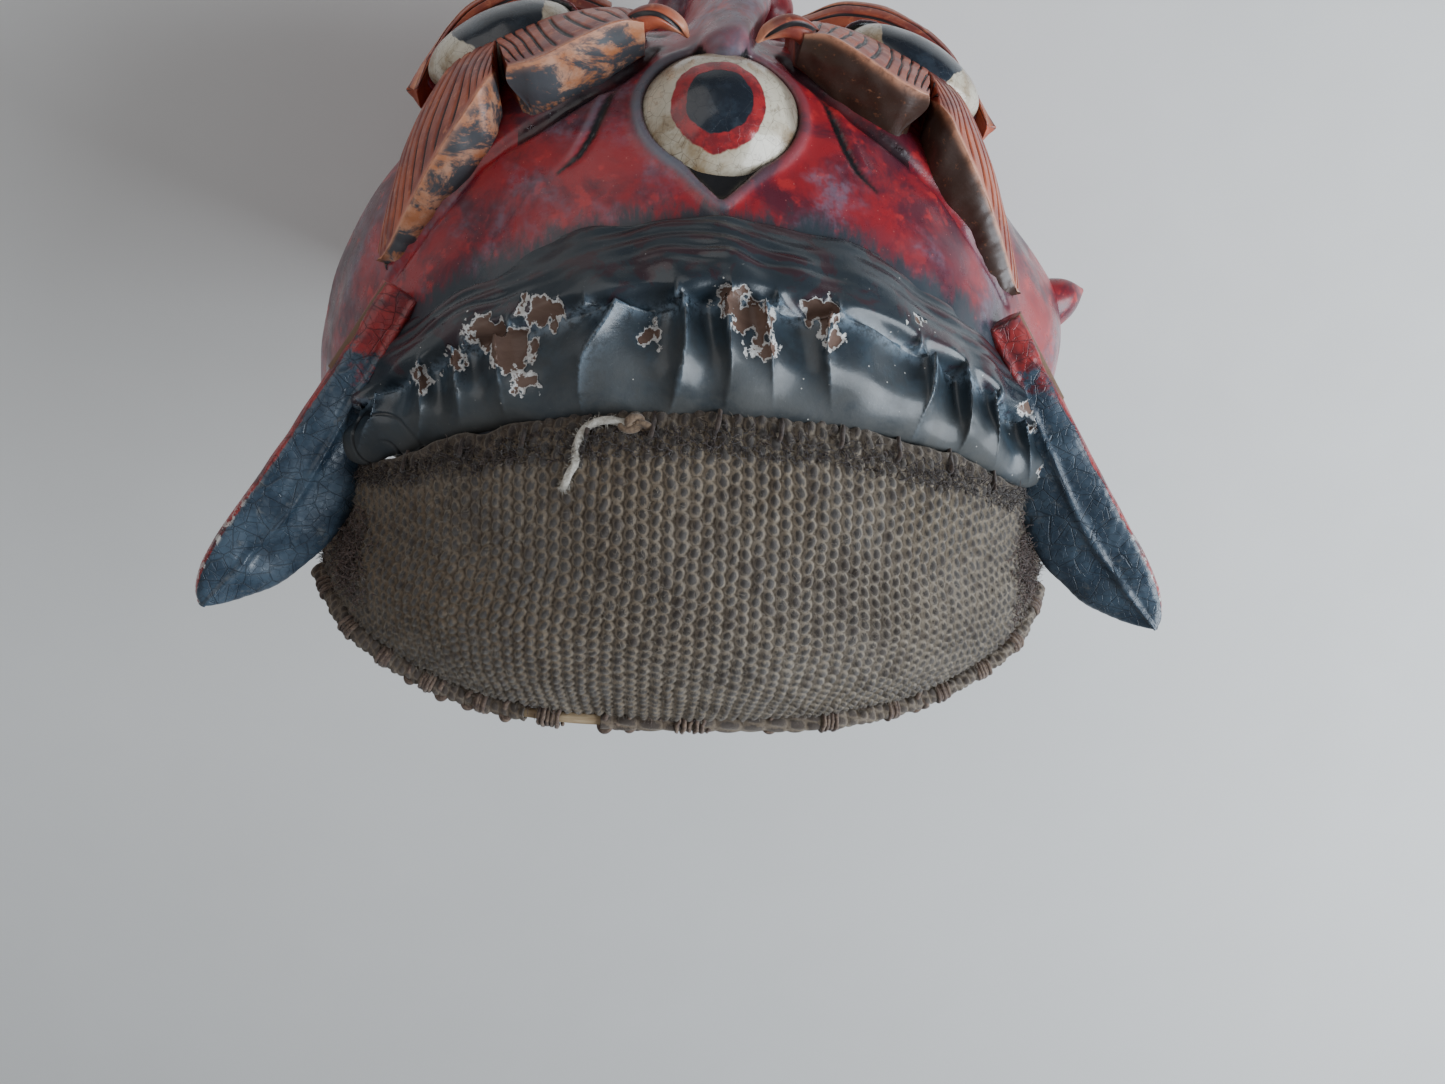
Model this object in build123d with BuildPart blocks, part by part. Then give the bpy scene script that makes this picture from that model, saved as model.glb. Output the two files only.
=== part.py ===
"""Three-eyed guardian dance mask: a carved, lacquered wooden face with a knitted wool hood.

Frame (millimetres): +Z towards the crown, -Y the way the face looks, +X the wearer's left.
The mask stands on the flat bottom rim of its wooden shell at Z = 0.
"""

import os
from math import cos, radians, sin, sqrt, tan

from build123d import *

# ------------------------------------------------------------------ driving dimensions
WALL = 11.0                 # thickness of the carved shell
BACK = 48.0                 # Y of the shell's open back rim
FACE_STATIONS = [           # height, half width, Y of the face on the centre line
    (0.0, 94.0, -81.0),
    (28.0, 109.0, -94.0),
    (58.0, 127.0, -102.5),
    (92.0, 145.0, -108.0),
    (130.0, 159.0, -111.0),
    (172.0, 166.0, -113.0),
    (208.0, 153.0, -112.0),
    (238.0, 135.0, -104.0),
    (262.0, 122.0, -79.0),
    (284.0, 104.0, -48.0),
    (300.0, 82.0, -18.0),
]
CAVITY_TOP_DROP = 7.0
MOUTH_HALF_WIDTH, MOUTH_LOW, MOUTH_HIGH = 46.0, 60.0, 98.0
TOOTH_PITCH, TOOTH_BAR_DEPTH = 11.5, 8.0
UPPER_TEETH_HEIGHT, LOWER_TEETH_HEIGHT = 16.0, 9.0
FANG_X, FANG_LENGTH, FANG_RADIUS = 40.0, 24.0, 5.0
THIRD_EYE_Z, THIRD_EYE_RADIUS, THIRD_EYE_BULGE, THIRD_EYE_TILT = 258.0, 27.5, 14.0, 50.0
EYE_X, EYE_Z, EYE_RADIUS, EYE_BULGE, EYE_PROUD = 83.0, 186.0, 28.0, 15.0, 12.0
SEAT_DEPTH = 5.0            # how far a domed eye is let into the shell
BROW_TOP, BROW_HEIGHT = 243.0, 40.0
EAR_ROOT, EAR_TIP = (114.0, -13.0, 254.0), (190.0, 103.0, 279.0)
EAR_LEAN, EAR_THICKNESS = (0.76, -0.48, 0.42), 14.0
PEG_DIAMETER, PEG_LENGTH, PEG_SPREAD = 8.0, 38.0, 11.0
CREST_STATIONS = [          # X; then Y, Z of hairline, ridge, top and rear edge
    (0.0, (-52, 287), (-31, 313), (-12, 322), (11, 317)),
    (50.0, (-44, 281), (-23, 309), (-5, 317), (16, 311)),
    (95.0, (-21, 264), (-2, 292), (14, 299), (30, 293)),
    (125.0, (5, 251), (21, 274), (32, 279), (48, 273)),
    (143.0, (28, 250), (33, 262), (40, 266), (51, 262)),
]
CREST_PEG_X = (-66.0, -24.0, 24.0, 66.0)
CREST_DEPTH = 26.0          # from the crest's upper outline down into the head
HOOD_THICKNESS, HOOD_AXIS_Z, HOOD_LOW = 5.0, 205.0, 236.0
HOOD_STATIONS = [           # Y, half width and height of the arch above the axis
    (10.0, 141.0, 112.0),
    (30.0, 147.0, 122.0),
    (48.0, 147.0, 128.0),
    (68.0, 147.0, 130.0),
    (93.0, 157.0, 126.0),
    (118.0, 156.0, 113.0),
    (148.0, 142.0, 84.0),
]
HEM_CORNER, HEM_SHOULDER, HEM_MIDDLE = (165.0, 88.0), (92.0, 139.0), (0.0, 142.0)
CANE_DIAMETER, CANE_GAP = 4.0, 4.2
CANE_PLAN = [(155.4, 107.3), (138.8, 122.0), (116.5, 134.5), (87.6, 144.2), (45.0, 146.2)]
LASHING_DIAMETER, LASHING_LENGTH, LASHING_COUNT = 7.2, 5.0, 13
LACE_DIAMETER, LACE_RADIUS, LACE_STEP, LACE_COUNT = 2.2, 5.0, 22.0, 11
KNOT_RADIUS = 5.5
PAD_LOW, PAD_HIGH, PAD_DEPTH, PAD_HALF_WIDTH = 196.0, 226.0, 13.0, 66.0
CORD_DIAMETER, CORD_LIFT = 2.8, 2.4
CORD_PLAN = [(30.0, 19.0), (39.5, 18.5), (47.5, 23.0), (51.5, 31.5), (58.0, 39.0)]
ARC_SHARE = 0.45            # how much of the shorter run each arc of a cord takes

os.makedirs("parts", exist_ok=True)


def save(builder, name):
    """Label a finished piece and write its STEP file."""
    builder.part.label = name
    export_step(builder.part, f"parts/{name}.step")


def largest(part, count=1):
    """A part's largest solids, without the specks that a cut leaves beside them."""
    with BuildPart() as kept:
        for solid in part.solids().sort_by(SortBy.VOLUME)[-count:]:
            add(solid)
    return kept


def save_pair(builder, stem):
    """Write a left-hand piece and its mirror image, and return both parts."""
    save(builder, f"{stem}_left")
    with BuildPart() as twin:
        mirror(builder.part, about=Plane.YZ)
    save(twin, f"{stem}_right")
    return [builder.part, twin.part]


def face_station(height):
    """Half width and front Y of the bare face at one height, between the stations."""
    for (low, width_0, front_0), (high, width_1, front_1) in zip(FACE_STATIONS, FACE_STATIONS[1:]):
        if low <= height <= high:
            share = (height - low) / (high - low)
            return width_0 + share * (width_1 - width_0), front_0 + share * (front_1 - front_0)
    raise ValueError("height is off the face")


def face_y(x, height):
    """Y of the bare face at a sideways place and a height."""
    half_width, front = face_station(height)
    return BACK - (BACK - front) * sqrt(1 - (x / half_width) ** 2)


def hood_top(x, y):
    """Height of the hood's outer surface, between the arches."""
    for (y_0, width_0, rise_0), (y_1, width_1, rise_1) in zip(HOOD_STATIONS, HOOD_STATIONS[1:]):
        if y_0 <= y <= y_1:
            share = (y - y_0) / (y_1 - y_0)
            half_width, rise = width_0 + share * (width_1 - width_0), rise_0 + share * (rise_1 - rise_0)
            return HOOD_AXIS_Z + rise * sqrt(1 - (x / half_width) ** 2)
    raise ValueError("place is off the hood")


def arc_radii(points):
    """Radius of the tangent arc at each inner point of a route of straight runs."""
    radii = []
    for before, here, after in zip(points, points[1:], points[2:]):
        arriving, leaving = Vector(*here) - Vector(*before), Vector(*after) - Vector(*here)
        half_turn = radians(arriving.get_angle(leaving) / 2)
        radii.append(ARC_SHARE * min(arriving.length, leaving.length) / tan(half_turn))
    return radii


def half_oval(half_width, depth, back):
    """The front half of an oval, closed by a straight line at its back."""
    with BuildSketch(Plane.XY) as oval:
        with BuildLine():
            EllipticalCenterArc((0, back), half_width, depth, start_angle=180, arc_size=180)
            Line((half_width, back), (-half_width, back))
        make_face()
    return oval.sketch_local


def low_dome(radius, bulge, foot):
    """A low round cap on a straight foot, bulging along +Z from Z = 0."""
    ball_radius = (radius**2 + bulge**2) / (2 * bulge)
    with BuildPart(Plane.XY) as dome:
        with Locations((0, 0, -foot)):
            Cylinder(radius, foot + bulge, align=(Align.CENTER, Align.CENTER, Align.MIN))
        with Locations((0, 0, bulge - ball_radius)):
            Sphere(ball_radius, mode=Mode.INTERSECT)
    return dome.part


# ------------------------------------------------------------------ carved head as a full block
with BuildPart() as head_block:
    for station_z, station_w, station_front in FACE_STATIONS:
        with BuildSketch(Plane.XY.offset(station_z)):
            add(half_oval(station_w, BACK - station_front, BACK))
    loft()

with BuildPart() as head_cavity:
    for station_z, station_w, station_front in FACE_STATIONS[:-1]:
        drop = 1.0 if station_z == 0.0 else CAVITY_TOP_DROP * (station_z > BROW_TOP)
        with BuildSketch(Plane.XY.offset(station_z - drop)):
            add(half_oval(station_w - WALL, BACK - station_front - WALL + 1, BACK + 1))
    loft()

# ------------------------------------------------------------------ pegs that hold ears and crest
ear_root, ear_tip = Vector(*EAR_ROOT), Vector(*EAR_TIP)
ear_along = (ear_tip - ear_root).normalized()
ear_up = Vector(*EAR_LEAN)
ear_up = (ear_up - ear_along * ear_up.dot(ear_along)).normalized()
ear_length = (ear_tip - ear_root).length

with BuildPart() as ear_pegs:
    for spread in (PEG_SPREAD, -PEG_SPREAD):
        with BuildSketch(Plane(ear_root + ear_up * (spread - 6.0), z_dir=ear_along)):
            Circle(PEG_DIAMETER / 2)
        extrude(amount=PEG_LENGTH)
    mirror(about=Plane.YZ)
save(ear_pegs, "ear_pegs")

with BuildPart() as crest_pegs:
    for peg_x in CREST_PEG_X:
        with BuildSketch(Plane((peg_x, 0.08 * abs(peg_x) + 6.0, 270.0 - 0.2 * abs(peg_x)))):
            Circle(PEG_DIAMETER / 2)
        extrude(amount=PEG_LENGTH)
save(crest_pegs, "crest_pegs")

# ------------------------------------------------------------------ eyes
third_eye_dome = low_dome(THIRD_EYE_RADIUS, THIRD_EYE_BULGE, SEAT_DEPTH)
side_eye_dome = low_dome(EYE_RADIUS, EYE_BULGE, EYE_PROUD + SEAT_DEPTH)

with BuildPart() as third_eye:
    eye_normal = Vector(0, -cos(radians(THIRD_EYE_TILT)), sin(radians(THIRD_EYE_TILT)))
    with Locations(Plane((0, face_y(0, THIRD_EYE_Z), THIRD_EYE_Z), z_dir=eye_normal)):
        add(third_eye_dome)
save(third_eye, "third_eye")

with BuildPart() as eye:
    eye_normal = Vector(0.42, -0.88, 0.2).normalized()
    eye_middle = Vector(EYE_X, face_y(EYE_X, EYE_Z), EYE_Z) + eye_normal * EYE_PROUD
    with Locations(Plane(eye_middle, z_dir=eye_normal)):
        add(side_eye_dome)
eyes = save_pair(eye, "eye")

# ------------------------------------------------------------------ wooden face shell
with BuildPart() as face_shell:
    add(head_block.part)
    add(head_cavity.part, mode=Mode.SUBTRACT)
    with BuildSketch(Plane.XZ):
        with Locations((0, (MOUTH_LOW + MOUTH_HIGH) / 2)):
            Rectangle(2 * MOUTH_HALF_WIDTH, MOUTH_HIGH - MOUTH_LOW)
    extrude(amount=200, mode=Mode.SUBTRACT)
    for inlay in [third_eye.part, ear_pegs.part, crest_pegs.part] + eyes:
        add(inlay, mode=Mode.SUBTRACT)
save(face_shell, "face_shell")

# ------------------------------------------------------------------ nose with its frown curls
with BuildPart() as nose:
    for height, half_width, half_depth, middle_y in (
        (240.0, 9.0, 6.0, -102.0),
        (214.0, 14.0, 15.0, -113.0),
        (180.0, 20.0, 22.0, -119.0),
        (154.0, 32.0, 28.6, -122.0),
        (136.0, 26.0, 20.0, -118.0),
    ):
        with BuildSketch(Plane.XY.offset(height)):
            with Locations((0, middle_y)):
                Ellipse(half_width, half_depth)
    loft()
    for neighbour in (head_block, third_eye):
        add(neighbour.part, mode=Mode.SUBTRACT)
save(nose, "nose")

# ------------------------------------------------------------------ flame brows and cheek flames
with BuildPart() as brow_inner:
    with BuildSketch(Plane.XY.offset(BROW_TOP)):
        with BuildLine():
            Line((26, -94), (27, -115))
            ThreePointArc((27, -115), (58, -115), (84, -99))
            Polyline((84, -99), (77, -70), (50, -66), (26, -94))
        make_face()
    extrude(amount=-BROW_HEIGHT, taper=2)
    for neighbour in (head_block, nose, eye):
        add(neighbour.part, mode=Mode.SUBTRACT)
brows = save_pair(brow_inner, "brow_inner")

with BuildPart() as brow_outer:
    with BuildSketch(Plane((80, -72, BROW_TOP), z_dir=(0.35, 0, 1))):
        with BuildLine():
            Line((-2, 4), (8, -23))
            ThreePointArc((8, -23), (36, 6), (50, 48))
            Polyline((50, 48), (24, 34), (-2, 4))
        make_face()
    extrude(amount=-BROW_HEIGHT * 0.8, taper=2)
    for neighbour in (head_block, brow_inner, eye):
        add(neighbour.part, mode=Mode.SUBTRACT)
brows += save_pair(brow_outer, "brow_outer")

with BuildPart() as cheek_flame:
    with BuildSketch(Plane((36, -102, 150), z_dir=(-0.3, 0, 1))):
        with BuildLine():
            Line((0, 20), (0, -24))
            ThreePointArc((0, -24), (42, -28), (80, 10))
            Polyline((80, 10), (60, 40), (0, 20))
        make_face()
    extrude(amount=20, taper=3)
    for neighbour in (head_block, nose, eye):
        add(neighbour.part, mode=Mode.SUBTRACT)
save_pair(cheek_flame, "cheek_flame")

with BuildPart() as brow_curl:
    with BuildSketch(Plane((20, -94, 241), z_dir=(0, -1, 0.1))):
        Circle(8.0)
    extrude(amount=22)
    for neighbour in (head_block, third_eye, nose, brow_inner):
        add(neighbour.part, mode=Mode.SUBTRACT)
save_pair(brow_curl, "brow_curl")

# ------------------------------------------------------------------ carved teeth
def tooth_bar(low, high):
    """One carved strip of teeth that fills the mouth's width and follows the face's curve."""
    half_width, front = face_station((low + high) / 2)
    outer = half_oval(half_width - 1.0, BACK - front - 1.0, BACK)
    inner = half_oval(half_width - 1.0 - TOOTH_BAR_DEPTH, BACK - front - 1.0 - TOOTH_BAR_DEPTH, BACK)
    with BuildPart() as bar:
        with BuildSketch(Plane.XY.offset(low)):
            add(outer)
            add(inner, mode=Mode.SUBTRACT)
            with Locations((0, -82)):
                Rectangle(2 * MOUTH_HALF_WIDTH, 120, mode=Mode.INTERSECT)
        extrude(amount=high - low)
        for step in range(-3, 4):
            groove_x = step * TOOTH_PITCH
            with Locations((groove_x, face_y(groove_x, (low + high) / 2) - 1.0, (low + high) / 2)):
                Cylinder(2.0, high - low + 2, mode=Mode.SUBTRACT)
    return bar.part


upper_bar = tooth_bar(MOUTH_HIGH - UPPER_TEETH_HEIGHT, MOUTH_HIGH)
lower_bar = tooth_bar(MOUTH_LOW, MOUTH_LOW + LOWER_TEETH_HEIGHT)

with BuildPart() as upper_teeth:
    add(upper_bar)
    for side in (1, -1):
        fang_top = (side * FANG_X, face_y(FANG_X, MOUTH_HIGH) + 4.0, MOUTH_HIGH - 2.0)
        with BuildSketch(Plane(fang_top)):
            Circle(FANG_RADIUS)
        with BuildSketch(Plane((fang_top[0], fang_top[1] - 5.0, fang_top[2] - FANG_LENGTH))):
            Circle(1.2)
        loft()
save(upper_teeth, "upper_teeth")

with BuildPart() as lower_teeth:
    add(lower_bar)
save(lower_teeth, "lower_teeth")

# ------------------------------------------------------------------ ears
with BuildPart() as ear:
    with BuildSketch(Plane(ear_root, x_dir=ear_along, z_dir=ear_along.cross(ear_up))):
        with BuildLine():
            Spline((0, 10), (ear_length * 0.5, 8.5), (ear_length * 0.85, 8), (ear_length, 0),
                   tangents=[(1, 0), (0.5, -1)])
            Spline((ear_length, 0), (ear_length * 0.92, -15), (ear_length * 0.7, -29), (ear_length * 0.45, -21),
                   (0, -22), tangents=[(-0.6, -1), (-1, 0)])
            Line((0, -22), (0, 10))
        make_face()
    extrude(amount=EAR_THICKNESS / 2, both=True)
    for neighbour in [head_block.part, ear_pegs.part] + brows:
        add(neighbour, mode=Mode.SUBTRACT)
ears = save_pair(ear, "ear")

# ------------------------------------------------------------------ hair crest
with BuildPart() as crest:
    right_half = [(-x, *outline) for x, *outline in CREST_STATIONS[:0:-1]]
    for station_x, hairline, ridge, top, rear in right_half + CREST_STATIONS:
        shallow = CREST_DEPTH * (1 - 0.45 * abs(station_x) / CREST_STATIONS[-1][0])
        with BuildSketch(Plane.YZ.offset(station_x)):
            with BuildLine():
                Polyline(hairline, ridge, top, rear, (rear[0], rear[1] - shallow),
                         (hairline[0] + 8, hairline[1] - shallow * 0.6), close=True)
            make_face()
    loft()
    for neighbour in [head_block.part, crest_pegs.part, ear_pegs.part, third_eye.part] + ears + brows:
        add(neighbour, mode=Mode.SUBTRACT)
crest = largest(crest.part)
save(crest, "crest")

# ------------------------------------------------------------------ knitted hood with its hem cane
def hood_outline():
    """The hood's outline from above, from under the crest back to the hem."""
    side_x, side_y = HEM_CORNER
    with BuildSketch(Plane.XY) as outline:
        with BuildLine():
            Spline((-side_x, side_y), (-HEM_SHOULDER[0], HEM_SHOULDER[1]), HEM_MIDDLE, HEM_SHOULDER,
                   HEM_CORNER)
            Polyline(HEM_CORNER, (side_x, 49), (120, 42), (60, 10), (-60, 10), (-120, 42),
                     (-side_x, 49), (-side_x, side_y))
        make_face()
    return outline.sketch_local


with BuildPart() as hood:
    for thinner, mode in ((0.0, Mode.ADD), (HOOD_THICKNESS, Mode.SUBTRACT)):
        for station_y, half_width, rise in HOOD_STATIONS:
            with BuildSketch(Plane.XZ.offset(-station_y)):
                with BuildLine():
                    EllipticalCenterArc((0, HOOD_AXIS_Z), half_width - thinner, rise - thinner,
                                        start_angle=0, arc_size=180)
                    Line((-half_width + thinner, HOOD_AXIS_Z), (half_width - thinner, HOOD_AXIS_Z))
                make_face()
        loft(mode=mode)
    with BuildSketch(Plane.XY.offset(HOOD_LOW)):
        add(hood_outline())
    extrude(amount=120, mode=Mode.INTERSECT)
    for neighbour in [head_block.part, crest.part] + ears:
        add(neighbour, mode=Mode.SUBTRACT)
hood = largest(hood.part)
save(hood, "hood")

# ------------------------------------------------------------------ cane along the hem, and its lashings
cane_half = [(x, y, hood_top(x * 0.975, y - CANE_GAP) - HOOD_THICKNESS / 2) for x, y in CANE_PLAN]
cane_route = cane_half + [(-x, y, z) for x, y, z in reversed(cane_half)]
with BuildPart() as hem_cane:
    with BuildLine() as cane_path:
        FilletPolyline(*cane_route, radius=arc_radii(cane_route))
    cane_line = cane_path.wires()[0]
    with BuildSketch(Plane(cane_line @ 0, z_dir=cane_line % 0)):
        Circle(CANE_DIAMETER / 2)
    sweep()
save(hem_cane, "hem_cane")

with BuildPart() as hem_lashings:
    for step in range(LASHING_COUNT):
        share = (step + 0.5) / LASHING_COUNT
        with BuildSketch(Plane(cane_line @ share, z_dir=cane_line % share)):
            Circle(LASHING_DIAMETER / 2)
            Circle(CANE_DIAMETER / 2 + 0.15, mode=Mode.SUBTRACT)
        extrude(amount=LASHING_LENGTH / 2, both=True)
    add(hood.part, mode=Mode.SUBTRACT)
save(hem_lashings, "hem_lashings")

# ------------------------------------------------------------------ lacing of the hood to the crest
def crest_rear(x):
    """Y and height of the crest's rear edge, between the stations."""
    for (x_0, *_, rear_0), (x_1, *_, rear_1) in zip(CREST_STATIONS, CREST_STATIONS[1:]):
        if x_0 <= abs(x) <= x_1:
            share = (abs(x) - x_0) / (x_1 - x_0)
            return rear_0[0] + share * (rear_1[0] - rear_0[0]), rear_0[1] + share * (rear_1[1] - rear_0[1])
    raise ValueError("place is off the crest")


with BuildPart() as rim_lacing:
    for step in range(LACE_COUNT):
        lace_x = (step - (LACE_COUNT - 1) / 2) * LACE_STEP
        rear_y, rear_z = crest_rear(lace_x)
        with BuildSketch(Plane((lace_x, rear_y + 1, rear_z), x_dir=(0, 1, 0), z_dir=(0, 0, 1))):
            with Locations((LACE_RADIUS, 0)):
                Circle(LACE_DIAMETER / 2)
        revolve(axis=Axis((lace_x, rear_y + 1, rear_z), (1, 0, 0)), revolution_arc=180)
    for neighbour in (head_block, crest, hood):
        add(neighbour.part, mode=Mode.SUBTRACT)
rim_lacing = largest(rim_lacing.part, LACE_COUNT)
save(rim_lacing, "rim_lacing")

# ------------------------------------------------------------------ knot and loose tie end
cord_route = [(x, y, hood_top(x, y) + CORD_LIFT) for x, y in CORD_PLAN]
with BuildPart() as tie_end:
    with BuildLine() as cord_path:
        FilletPolyline(*cord_route, radius=arc_radii(cord_route))
    cord_line = cord_path.wires()[0]
    with BuildSketch(Plane(cord_line @ 0, z_dir=cord_line % 0)):
        Circle(CORD_DIAMETER / 2)
    sweep()
save(tie_end, "tie_end")

with BuildPart() as tie_knot:
    with Locations(Vector(*cord_route[0]) - Vector(KNOT_RADIUS - 0.6, 0, 0)):
        Sphere(KNOT_RADIUS)
    for neighbour in (crest, hood, tie_end, rim_lacing):
        add(neighbour.part, mode=Mode.SUBTRACT)
save(tie_knot, "tie_knot")

# ------------------------------------------------------------------ felt pad inside the forehead
pad_width, pad_front = face_station(PAD_HIGH)
pad_outer = half_oval(pad_width - WALL - 0.5, BACK - pad_front - WALL - 0.5, BACK)
pad_inner = half_oval(pad_width - WALL - PAD_DEPTH, BACK - pad_front - WALL - PAD_DEPTH, BACK)
with BuildPart() as forehead_pad:
    with BuildSketch(Plane.XY.offset(PAD_LOW)):
        add(pad_outer)
        add(pad_inner, mode=Mode.SUBTRACT)
        with Locations((0, -62)):
            Rectangle(2 * PAD_HALF_WIDTH, 100, mode=Mode.INTERSECT)
    extrude(amount=PAD_HIGH - PAD_LOW)
    fillet(forehead_pad.edges().filter_by(Axis.Z), radius=3.0)
save(forehead_pad, "forehead_pad")

print("cane radii", [round(radius, 1) for radius in arc_radii(cane_route)])
print("cord radii", [round(radius, 1) for radius in arc_radii(cord_route)])
for piece, line, diameter in ((hem_cane, cane_line, CANE_DIAMETER), (tie_end, cord_line, CORD_DIAMETER)):
    share = piece.part.volume / (line.length * 3.14159265 * diameter**2 / 4)
    print(piece.part.label, "length", round(line.length, 1), "volume over section x length", round(share, 3))
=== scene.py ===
"""Looks of the three-eyed guardian dance mask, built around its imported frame.

Shapes are worked out in millimetres in the row frame: +Z to the crown, -Y the way the face looks,
+X the wearer's left. They become metres when a mesh is made.
"""

import math

import bpy
import numpy as np
from mathutils import Matrix, Vector


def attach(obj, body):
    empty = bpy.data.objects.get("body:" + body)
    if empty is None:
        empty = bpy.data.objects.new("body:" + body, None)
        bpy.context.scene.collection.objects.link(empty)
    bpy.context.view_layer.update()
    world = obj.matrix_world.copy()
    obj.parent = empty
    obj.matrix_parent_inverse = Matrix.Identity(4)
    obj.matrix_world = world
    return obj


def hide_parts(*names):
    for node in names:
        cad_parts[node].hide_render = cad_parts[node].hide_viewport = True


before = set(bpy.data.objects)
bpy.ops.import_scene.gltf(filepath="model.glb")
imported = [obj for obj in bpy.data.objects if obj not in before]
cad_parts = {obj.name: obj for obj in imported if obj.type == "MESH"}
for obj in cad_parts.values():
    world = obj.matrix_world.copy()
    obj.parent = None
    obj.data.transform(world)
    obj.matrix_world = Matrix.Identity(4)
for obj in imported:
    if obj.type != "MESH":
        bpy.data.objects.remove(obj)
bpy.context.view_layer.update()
ROOT = "root"
MM = 0.001

# ------------------------------------------------------------------ driving sizes, as in the CAD
WALL, BACK, CAVITY_TOP = 11.0, 48.0, 277.0
FACE_STATIONS = (               # height, half width, Y of the face on the centre line
    (0, 94, -81), (28, 109, -94), (58, 127, -102.5), (92, 145, -108), (130, 159, -111),
    (172, 166, -113), (208, 153, -112), (238, 135, -104), (262, 122, -79), (284, 104, -48),
    (300, 82, -18),
)
THIRD_EYE_Z, THIRD_EYE_RADIUS, THIRD_EYE_BULGE, THIRD_EYE_TILT = 258.0, 26.5, 13.0, 50.0
EYE_CENTRE, EYE_NORMAL, EYE_HALVES = (84.0, -101.0, 186.0), (0.43, -0.90, -0.04), (31.0, 24.0, 14.5)
MOUTH_HALF_WIDTH, MOUTH_LOW, MOUTH_HIGH, TOOTH_PITCH = 46.0, 60.0, 98.0, 11.5
CREST_HALF_WIDTH = 143.0
CREST_STATIONS = (              # X; then Y, Z of hairline, ridge, top and rear edge
    (0, (-52, 287), (-31, 313), (-12, 322), (11, 317)),
    (50, (-44, 281), (-23, 309), (-5, 317), (16, 311)),
    (95, (-21, 264), (-2, 292), (14, 299), (30, 293)),
    (125, (5, 251), (21, 274), (32, 279), (48, 273)),
    (143, (28, 250), (33, 262), (40, 266), (51, 262)),
)
EAR_ROOT, EAR_TIP, EAR_LEAN = (114.0, -13.0, 254.0), (190.0, 103.0, 279.0), (0.76, -0.48, 0.42)
HOOD_AXIS_Z = 205.0
HOOD_STATIONS = (               # Y, half width and height of the arch above the axis
    (10, 141, 112), (30, 147, 122), (48, 147, 128), (68, 147, 130), (93, 157, 126),
    (118, 156, 113), (148, 142, 84),
)
CANE_GAP, CANE_RADIUS = 4.2, 2.0
CANE_PLAN = ((155.4, 107.3), (138.8, 122.0), (116.5, 134.5), (87.6, 144.2), (45.0, 146.2))
CORD_LIFT, CORD_RADIUS = 2.4, 1.4
CORD_PLAN = ((30.0, 15.0), (37.5, 14.0), (44.5, 16.5), (48.5, 23.0), (47.8, 28.5), (50.0, 32.0), (52.0, 37.0))


# ------------------------------------------------------------------ numbers and curves
def ease(low, high, value):
    """0 below low, 1 above high, and a smooth turn between."""
    share = np.clip((value - low) / (high - low), 0, 1)
    return share * share * (3 - 2 * share)


def soft_min(a, b, reach):
    share = np.clip(0.5 + 0.5 * (b - a) / reach, 0, 1)
    return b + (a - b) * share - reach * share * (1 - share)


def soft_max(a, b, reach):
    return -soft_min(-a, -b, reach)


def bell(value, width):
    """1 where the value is 0, falling away on both sides."""
    return np.exp(-(value / width) ** 2)


def lot(number):
    """A fixed, random-looking share for each number."""
    spread = np.sin(number) * 43758.5453
    return spread - np.floor(spread)


def unit(vector):
    vector = np.asarray(vector, float)
    return vector / np.linalg.norm(vector, axis=-1, keepdims=True)


def full_turn(count):
    return np.linspace(0, math.tau, count, endpoint=False)


def through(controls, count):
    """Points on a smooth curve through controls, each a point or an array of points."""
    controls = [np.asarray(control, float) for control in controls]
    padded = [2 * controls[0] - controls[1], *controls, 2 * controls[-1] - controls[-2]]
    points = []
    for spot in np.linspace(0, len(controls) - 1 - 1e-9, count):
        index, t = int(spot), spot - int(spot)
        p0, p1, p2, p3 = padded[index:index + 4]
        points.append(0.5 * (2 * p1 + (p2 - p0) * t + (2 * p0 - 5 * p1 + 4 * p2 - p3) * t**2
                             + (3 * p1 - p0 - 3 * p2 + p3) * t**3))
    return np.stack(points, axis=-2)


def profile(stations, column, place):
    """A smoothed reading of one column of a table whose first column is the place."""
    known = np.array([station[0] for station in stations], float)
    values = np.array([station[column] for station in stations], float)
    fine = np.arange(known[0] - 24, known[-1] + 24.5, 1.0)
    slopes = np.diff(values) / np.diff(known)
    rough = np.interp(fine, known, values)
    rough += np.minimum(fine - known[0], 0) * slopes[0] + np.maximum(fine - known[-1], 0) * slopes[-1]
    kernel = np.exp(-0.5 * (np.arange(-12, 13) / 4.5) ** 2)
    smooth = np.convolve(rough, kernel / kernel.sum(), mode="same")
    smooth[:13], smooth[-13:] = rough[:13], rough[-13:]
    return np.interp(place, fine, smooth)


def wobble(x, y, z, size, seed, waves=7):
    """Smooth unevenness from -1 to 1, with bumps of about that size."""
    random = np.random.default_rng(seed)
    total = 0.0
    for _ in range(waves):
        along = unit(random.normal(size=3)) * random.uniform(0.7, 1.5) * math.tau / (2 * size)
        total = total + np.sin(along[0] * x + along[1] * y + along[2] * z + random.uniform(0, math.tau))
    return total / waves ** 0.5 * 0.6


def uneven(points, size, seed):
    return wobble(*np.moveaxis(points, -1, 0), size, seed)


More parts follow.
